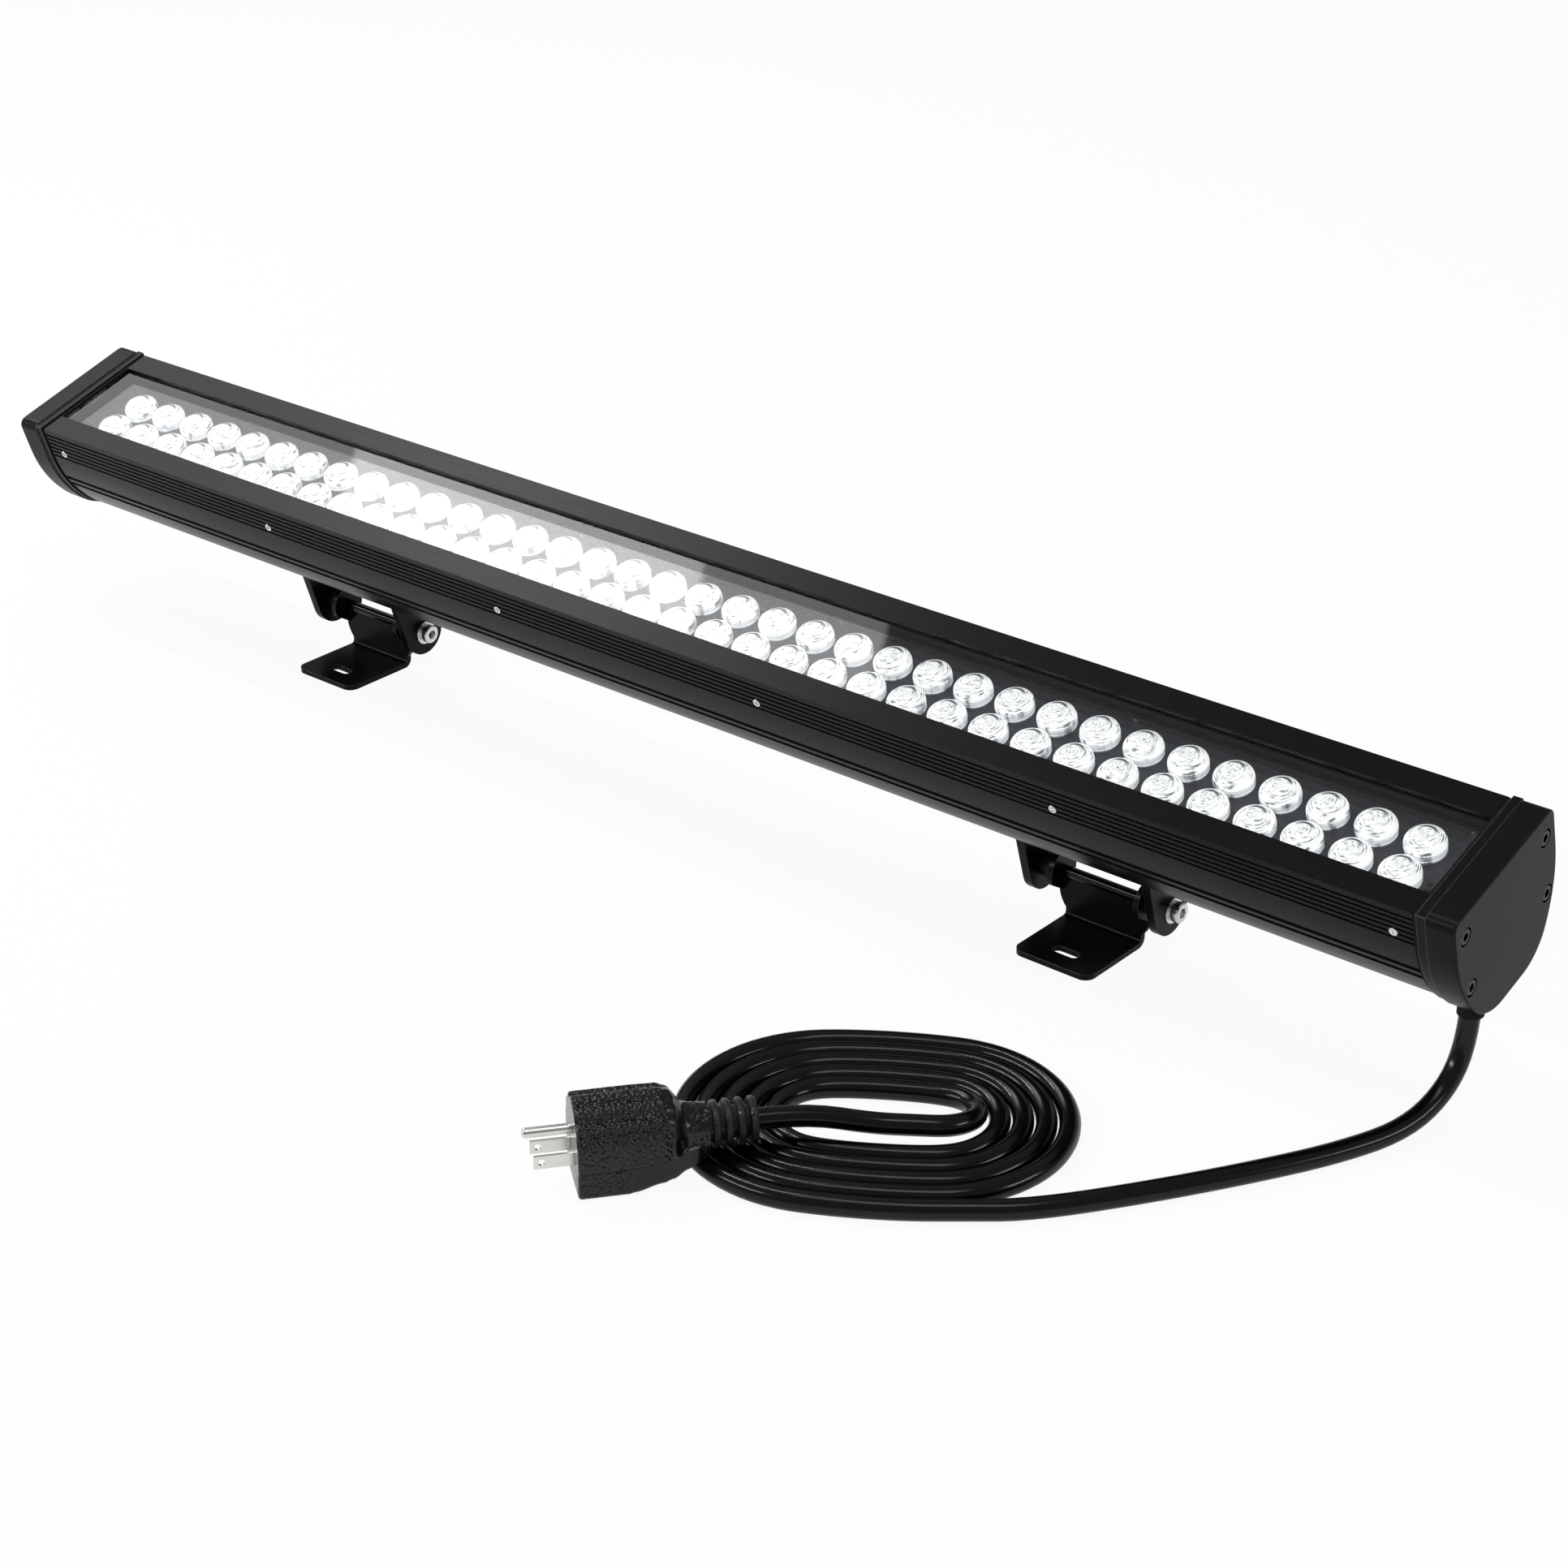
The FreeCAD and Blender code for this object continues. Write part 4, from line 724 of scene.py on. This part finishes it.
# Lens panel: one long moulding of dark blue-grey plastic, matt and a little cloudy, with a round
# hole for each lens. A small black screw at each end holds it.
panel = Finish("lens_panel_plastic")
cloud = panel.noise(12, 2)
dress(
    panel.done(
        panel.surface(
            Base_Color=panel.blend(cloud, (0.017, 0.020, 0.029, 1), (0.022, 0.026, 0.038, 1)),
            Roughness=0.44 + cloud * 0.1,
            Specular_IOR_Level=0.2,
        )
    ),
    "lens_panel",
)

# Lenses: two rows of clear acrylic lenses, each pressed over its chip, with fine rings moulded
# under the dome. Lit chips fill them with white, and painted reflection arcs and painted shade lie
# in it.
BAR_PLACE = Matrix.Translation((0, 0.0316, 0.0285)) @ Matrix.Rotation(math.radians(17.5), 4, "X")
LENS_RADIUS = 10
LENS_FOOT = 90.6
# from the hollow over the chip, out to the ridged side and in over the dome
lens = turned(
    "lens",
    [
        (0, 89.6),
        (3.4, 89.6),
        (3.4, 87.6),
        (6.5, 87.6),
        (10, 88.5),
        (9.8, LENS_FOOT),
        (10.0, 91.1),
        (9.7, 91.4),
        (10.1, 91.9),
        (9.8, 92.2),
        (10.2, 92.8),
        (9.9, 93.1),
        (10.25, 93.8),
        (10.05, 94.1),
        (10.25, 94.9),
        (10.1, 95.9),
        (9.75, 97.0),
        (9.1, 98.0),
        (8.0, 98.9),
        (6.6, 99.7),
        (4.7, 100.3),
        (2.4, 100.68),
        (0, 100.8),
    ],
    40,
)
spots = lens.data.attributes.new("spot", "FLOAT_VECTOR", "POINT")
for vert, spot in zip(lens.data.vertices, spots.data):
    spot.vector = vert.co * 1000 / LENS_RADIUS

lens_row = Pattern("lens_row")
count = lens_row.given_size("Lens count", "Int")
pitch = lens_row.given_size("Lens pitch", "Float")
gaps = lens_row.node("ShaderNodeMath", {"operation": "SUBTRACT"}, {0: count, 1: 1.0})
row_length = lens_row.node("ShaderNodeMath", {"operation": "MULTIPLY"}, {0: gaps, 1: pitch})
start = lens_row.node("ShaderNodeMath", {"operation": "MULTIPLY"}, {0: row_length, 1: -0.5})
across = lens_row.given_size("Row offset", "Float")
line = lens_row.node(
    "GeometryNodeMeshLine",
    {"mode": "OFFSET"},
    {
        "Count": count,
        "Start Location": lens_row.node("ShaderNodeCombineXYZ", {}, {"X": start, "Y": across}),
        "Offset": lens_row.node("ShaderNodeCombineXYZ", {}, {"X": pitch}),
    },
)
one = lens_row.node(shape_of, {}, {0: lens_row.given_size("Lens", "Object")}, "Geometry")
lens_row.close(
    lens_row.node("GeometryNodeInstanceOnPoints", {}, {"Points": line, "Instance": one})
)

acrylic = Finish("lens_acrylic")
spot = acrylic.node(
    "ShaderNodeAttribute", {"attribute_name": "spot", "attribute_type": "GEOMETRY"}, {}, "Vector"
)
flat = acrylic.node("ShaderNodeVectorMath", {"operation": "MULTIPLY"}, {0: spot, 1: (1, 1, 0)})
reach = acrylic.node("ShaderNodeVectorMath", {"operation": "LENGTH"}, {0: flat}, "Value")
way = acrylic.node("ShaderNodeVectorMath", {"operation": "NORMALIZE"}, {0: flat})
split = "ShaderNodeSeparateXYZ"
where = acrylic.node("ShaderNodeTexCoord", {}, {}, "Object")
sides = acrylic.node(split, {}, {0: way}, "X"), acrylic.node(split, {}, {0: way}, "Y")
seed = acrylic.node(split, {}, {0: where}, "X") * 60
arcs = acrylic.node(
    "ShaderNodeCombineXYZ", {}, {0: sides[0] * 0.7 + seed, 1: sides[1] * 0.7, 2: reach * 12}
)
streaks = acrylic.node("ShaderNodeTexNoise", {}, {"Vector": arcs, "Scale": 1.7, "Detail": 4.0})
ramp = "ShaderNodeValToRGB"
white_hot = (1.0, 1.0, 1.0, 1)
# painted reflection: noise arcs darken the white glow of each dome, in place of what it mirrors
painted_reflection_arcs = acrylic.node(
    ramp,
    {"stops": [(0.34, (0.10, 0.11, 0.13, 1)), (0.41, (0.5, 0.52, 0.55, 1)), (0.45, white_hot)]},
    {"Fac": streaks},
)
# painted shade: a dark crescent on the rear side of each dome, within the bands that the next ramp
# picks out
shaded = acrylic.node(
    ramp,
    {"stops": [(0.52, white_hot), (0.62, (0.20, 0.21, 0.24, 1)), (0.74, (0.02, 0.02, 0.025, 1))]},
    {"Fac": sides[1] * 0.45 + streaks * 0.55},
)
ring = acrylic.node(
    ramp,
    {
        "stops": [
            (0.44, (0, 0, 0, 1)),
            (0.50, (1, 1, 1, 1)),
            (0.63, (1, 1, 1, 1)),
            (0.67, (0, 0, 0, 1)),
            (0.74, (0, 0, 0, 1)),
            (0.77, (0.8, 0.8, 0.8, 1)),
            (0.80, (0, 0, 0, 1)),
        ]
    },
    {"Fac": reach},
)
# painted shade: dark lines between the ridges of each lens side, and dark at its foot by the panel
painted_ridge_shade = acrylic.node(
    ramp,
    {
        "stops": [
            (0.0, (0.04, 0.045, 0.06, 1)),
            (0.08, (0.4, 0.42, 0.46, 1)),
            (0.15, (0.95, 0.96, 0.97, 1)),
            (0.20, (0.2, 0.21, 0.24, 1)),
            (0.26, white_hot),
            (0.31, (0.3, 0.32, 0.35, 1)),
            (0.36, white_hot),
            (0.41, (0.45, 0.47, 0.5, 1)),
            (0.46, white_hot),
        ]
    },
    {"Fac": acrylic.node(split, {}, {0: spot}, "Z") - LENS_FOOT / LENS_RADIUS + streaks * 0.12},
)
painted_rear_shade = acrylic.blend(ring, white_hot, shaded)
multiply = {"data_type": "RGBA", "blend_type": "MULTIPLY"}
# the lit chips' white glow, multiplied by the painted reflection arcs, painted ridge shade and
# painted rear shade
glow = acrylic.node("ShaderNodeMix", multiply, {0: 1.0, 6: painted_reflection_arcs, 7: painted_ridge_shade}, 2)
glow = acrylic.node("ShaderNodeMix", multiply, {0: 1.0, 6: glow, 7: painted_rear_shade}, 2)
acrylic_lit = acrylic.done(
    acrylic.surface(
        Base_Color=(0.05, 0.052, 0.055, 1),
        Roughness=0.08,
        Coat_Weight=0.5,
        Coat_Roughness=0.03,
        Emission_Color=glow,
        Emission_Strength=1.05,
    )
)
for side, row in ((-1, "front"), (1, "rear")):
    lenses = lens_row.piece(
        f"{row}_lenses",
        BAR_PLACE,
        Lens_count=36,
        Lens_pitch=0.02585,
        Row_offset=side * 0.01135,
        Lens=lens,
        Finish=acrylic_lit,
    )
    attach(lenses, "lamp")
    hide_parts(f"{row}_row_lenses")
bpy.data.objects.remove(lens)

# Board, chips, driver and leads: a white-masked board with phosphor-coated chips, a drawn aluminium
# driver case and sheathed leads. They lie out of sight, under the lens panel and under the web.
mask = Finish("board_mask")
speck = mask.noise(500, 2)
dress(
    mask.done(
        mask.surface(
            Base_Color=mask.blend(speck, (0.74, 0.74, 0.72, 1), (0.82, 0.82, 0.80, 1)),
            Roughness=0.4,
        )
    ),
    "led_board",
)
phosphor = Finish("led_phosphor")
speck = phosphor.noise(2000, 2)
dress(
    phosphor.done(
        phosphor.surface(
            Base_Color=phosphor.blend(speck, (0.85, 0.68, 0.12, 1), (0.95, 0.85, 0.3, 1)),
            Roughness=0.5,
        )
    ),
    "led_chips",
)
case = Finish("driver_case_aluminium")
brush = case.noise(200, 3, (0.2, 4, 4))
dress(
    case.done(
        case.surface(
            Base_Color=case.blend(brush, (0.45, 0.46, 0.47, 1), (0.6, 0.61, 0.62, 1)),
            Metallic=1.0,
            Roughness=0.32 + brush * 0.15,
        )
    ),
    "driver_case",
)
lead = Finish("lead_sheath")
speck = lead.noise(300, 2)
dress(
    lead.done(
        lead.surface(
            Base_Color=lead.blend(speck, (0.5, 0.5, 0.49, 1), (0.6, 0.6, 0.58, 1)),
            Roughness=0.45,
        )
    ),
    "output_lead",
    "mains_lead",
)

# Brackets: steel plate, cut, bent and black powder coated, with a painted highlight along the
# edges.
# The saddles are screwed to the bar, and the feet turn on the pivot bolts between the saddles'
# ears.
powder = Finish("powder_coat")
peel = powder.noise(1500, 2)
cloud = powder.noise(30, 3)
rounded = powder.soft_edges(0.0004)
painted_edge_highlight = powder.painted_highlight_mask(rounded)
black = powder.blend(cloud, (0.0012, 0.0012, 0.0012, 1), (0.0028, 0.0028, 0.0028, 1))
dress(
    powder.done(
        powder.surface(
            # painted highlight: a grey, partly metallic line along the edges of the black powder
            # coat
            Base_Color=powder.blend(painted_edge_highlight, black, (0.12, 0.12, 0.12, 1)),
            Metallic=painted_edge_highlight * 0.5,
            Roughness=0.22 + cloud * 0.12,
            Specular_IOR_Level=0.12,
            Normal=powder.bump(peel, 0.00004, 0.35, rounded),
        )
    ),
    "left_saddle",
    "right_saddle",
    "left_foot_bracket",
    "right_foot_bracket",
)

# Bright fasteners: stainless side screws, saddle screws, pivot nuts and washers, with a fine
# turned grain and slightly rounded edges.
bright = Finish("stainless_steel")
brush = bright.noise(900, 3)
dress(
    bright.done(
        bright.surface(
            Base_Color=bright.blend(brush, (0.62, 0.61, 0.60, 1), (0.80, 0.79, 0.78, 1)),
            Metallic=1.0,
            Roughness=0.12 + brush * 0.16,
            Normal=bright.soft_edges(0.0003),
        )
    ),
    "front_side_screws",
    "rear_side_screws",
    *[
        f"{side}_{part}"
        for side in ("left", "right")
        for part in ("saddle_screws", "pivot_nut", "pivot_washers")
    ],
)

# Pivot bolts: stainless like the nuts, each through both ears of its saddle. The shank between the
# ears is painted dark as shade, and the head and the end stay bright.
PIVOT_ALONG = 0.267
PAINTED_SHADE_SHANK = 0.034
bolt = Finish("pivot_bolt_steel")
brush = bolt.noise(900, 3)
where = bolt.node("ShaderNodeTexCoord", {}, {}, "Object")
along = bolt.node("ShaderNodeSeparateXYZ", {}, {0: where}, "X")
out = bolt.node("ShaderNodeMath", {"operation": "ABSOLUTE"}, {0: along}) - PIVOT_ALONG
end = bolt.node("ShaderNodeMath", {"operation": "ABSOLUTE"}, {0: out}) > PAINTED_SHADE_SHANK
steel = bolt.blend(brush, (0.62, 0.61, 0.60, 1), (0.80, 0.79, 0.78, 1))
dress(
    bolt.done(
        bolt.surface(
            # painted shade: near black on the shank between the ears, where shade falls
            Base_Color=bolt.blend(end, (0.02, 0.02, 0.02, 1), steel),
            Metallic=1.0,
            Roughness=0.12 + brush * 0.16,
            Normal=bolt.soft_edges(0.0003),
        )
    ),
    "left_pivot_bolt",
    "right_pivot_bolt",
)

# Blades and earth pin: brass, stamped and turned, nickel plated and moulded into the plug, with a
# faint grain along their length.
plated = Finish("nickel_plate")
brush = plated.noise(1200, 3, (0.3, 2, 2))
dress(
    plated.done(
        plated.surface(
            Base_Color=plated.blend(brush, (0.66, 0.65, 0.62, 1), (0.82, 0.81, 0.78, 1)),
            Metallic=1.0,
            Roughness=0.14 + brush * 0.14,
            Normal=plated.soft_edges(0.0003),
        )
    ),
    "plug_blades",
    "ground_pin",
)
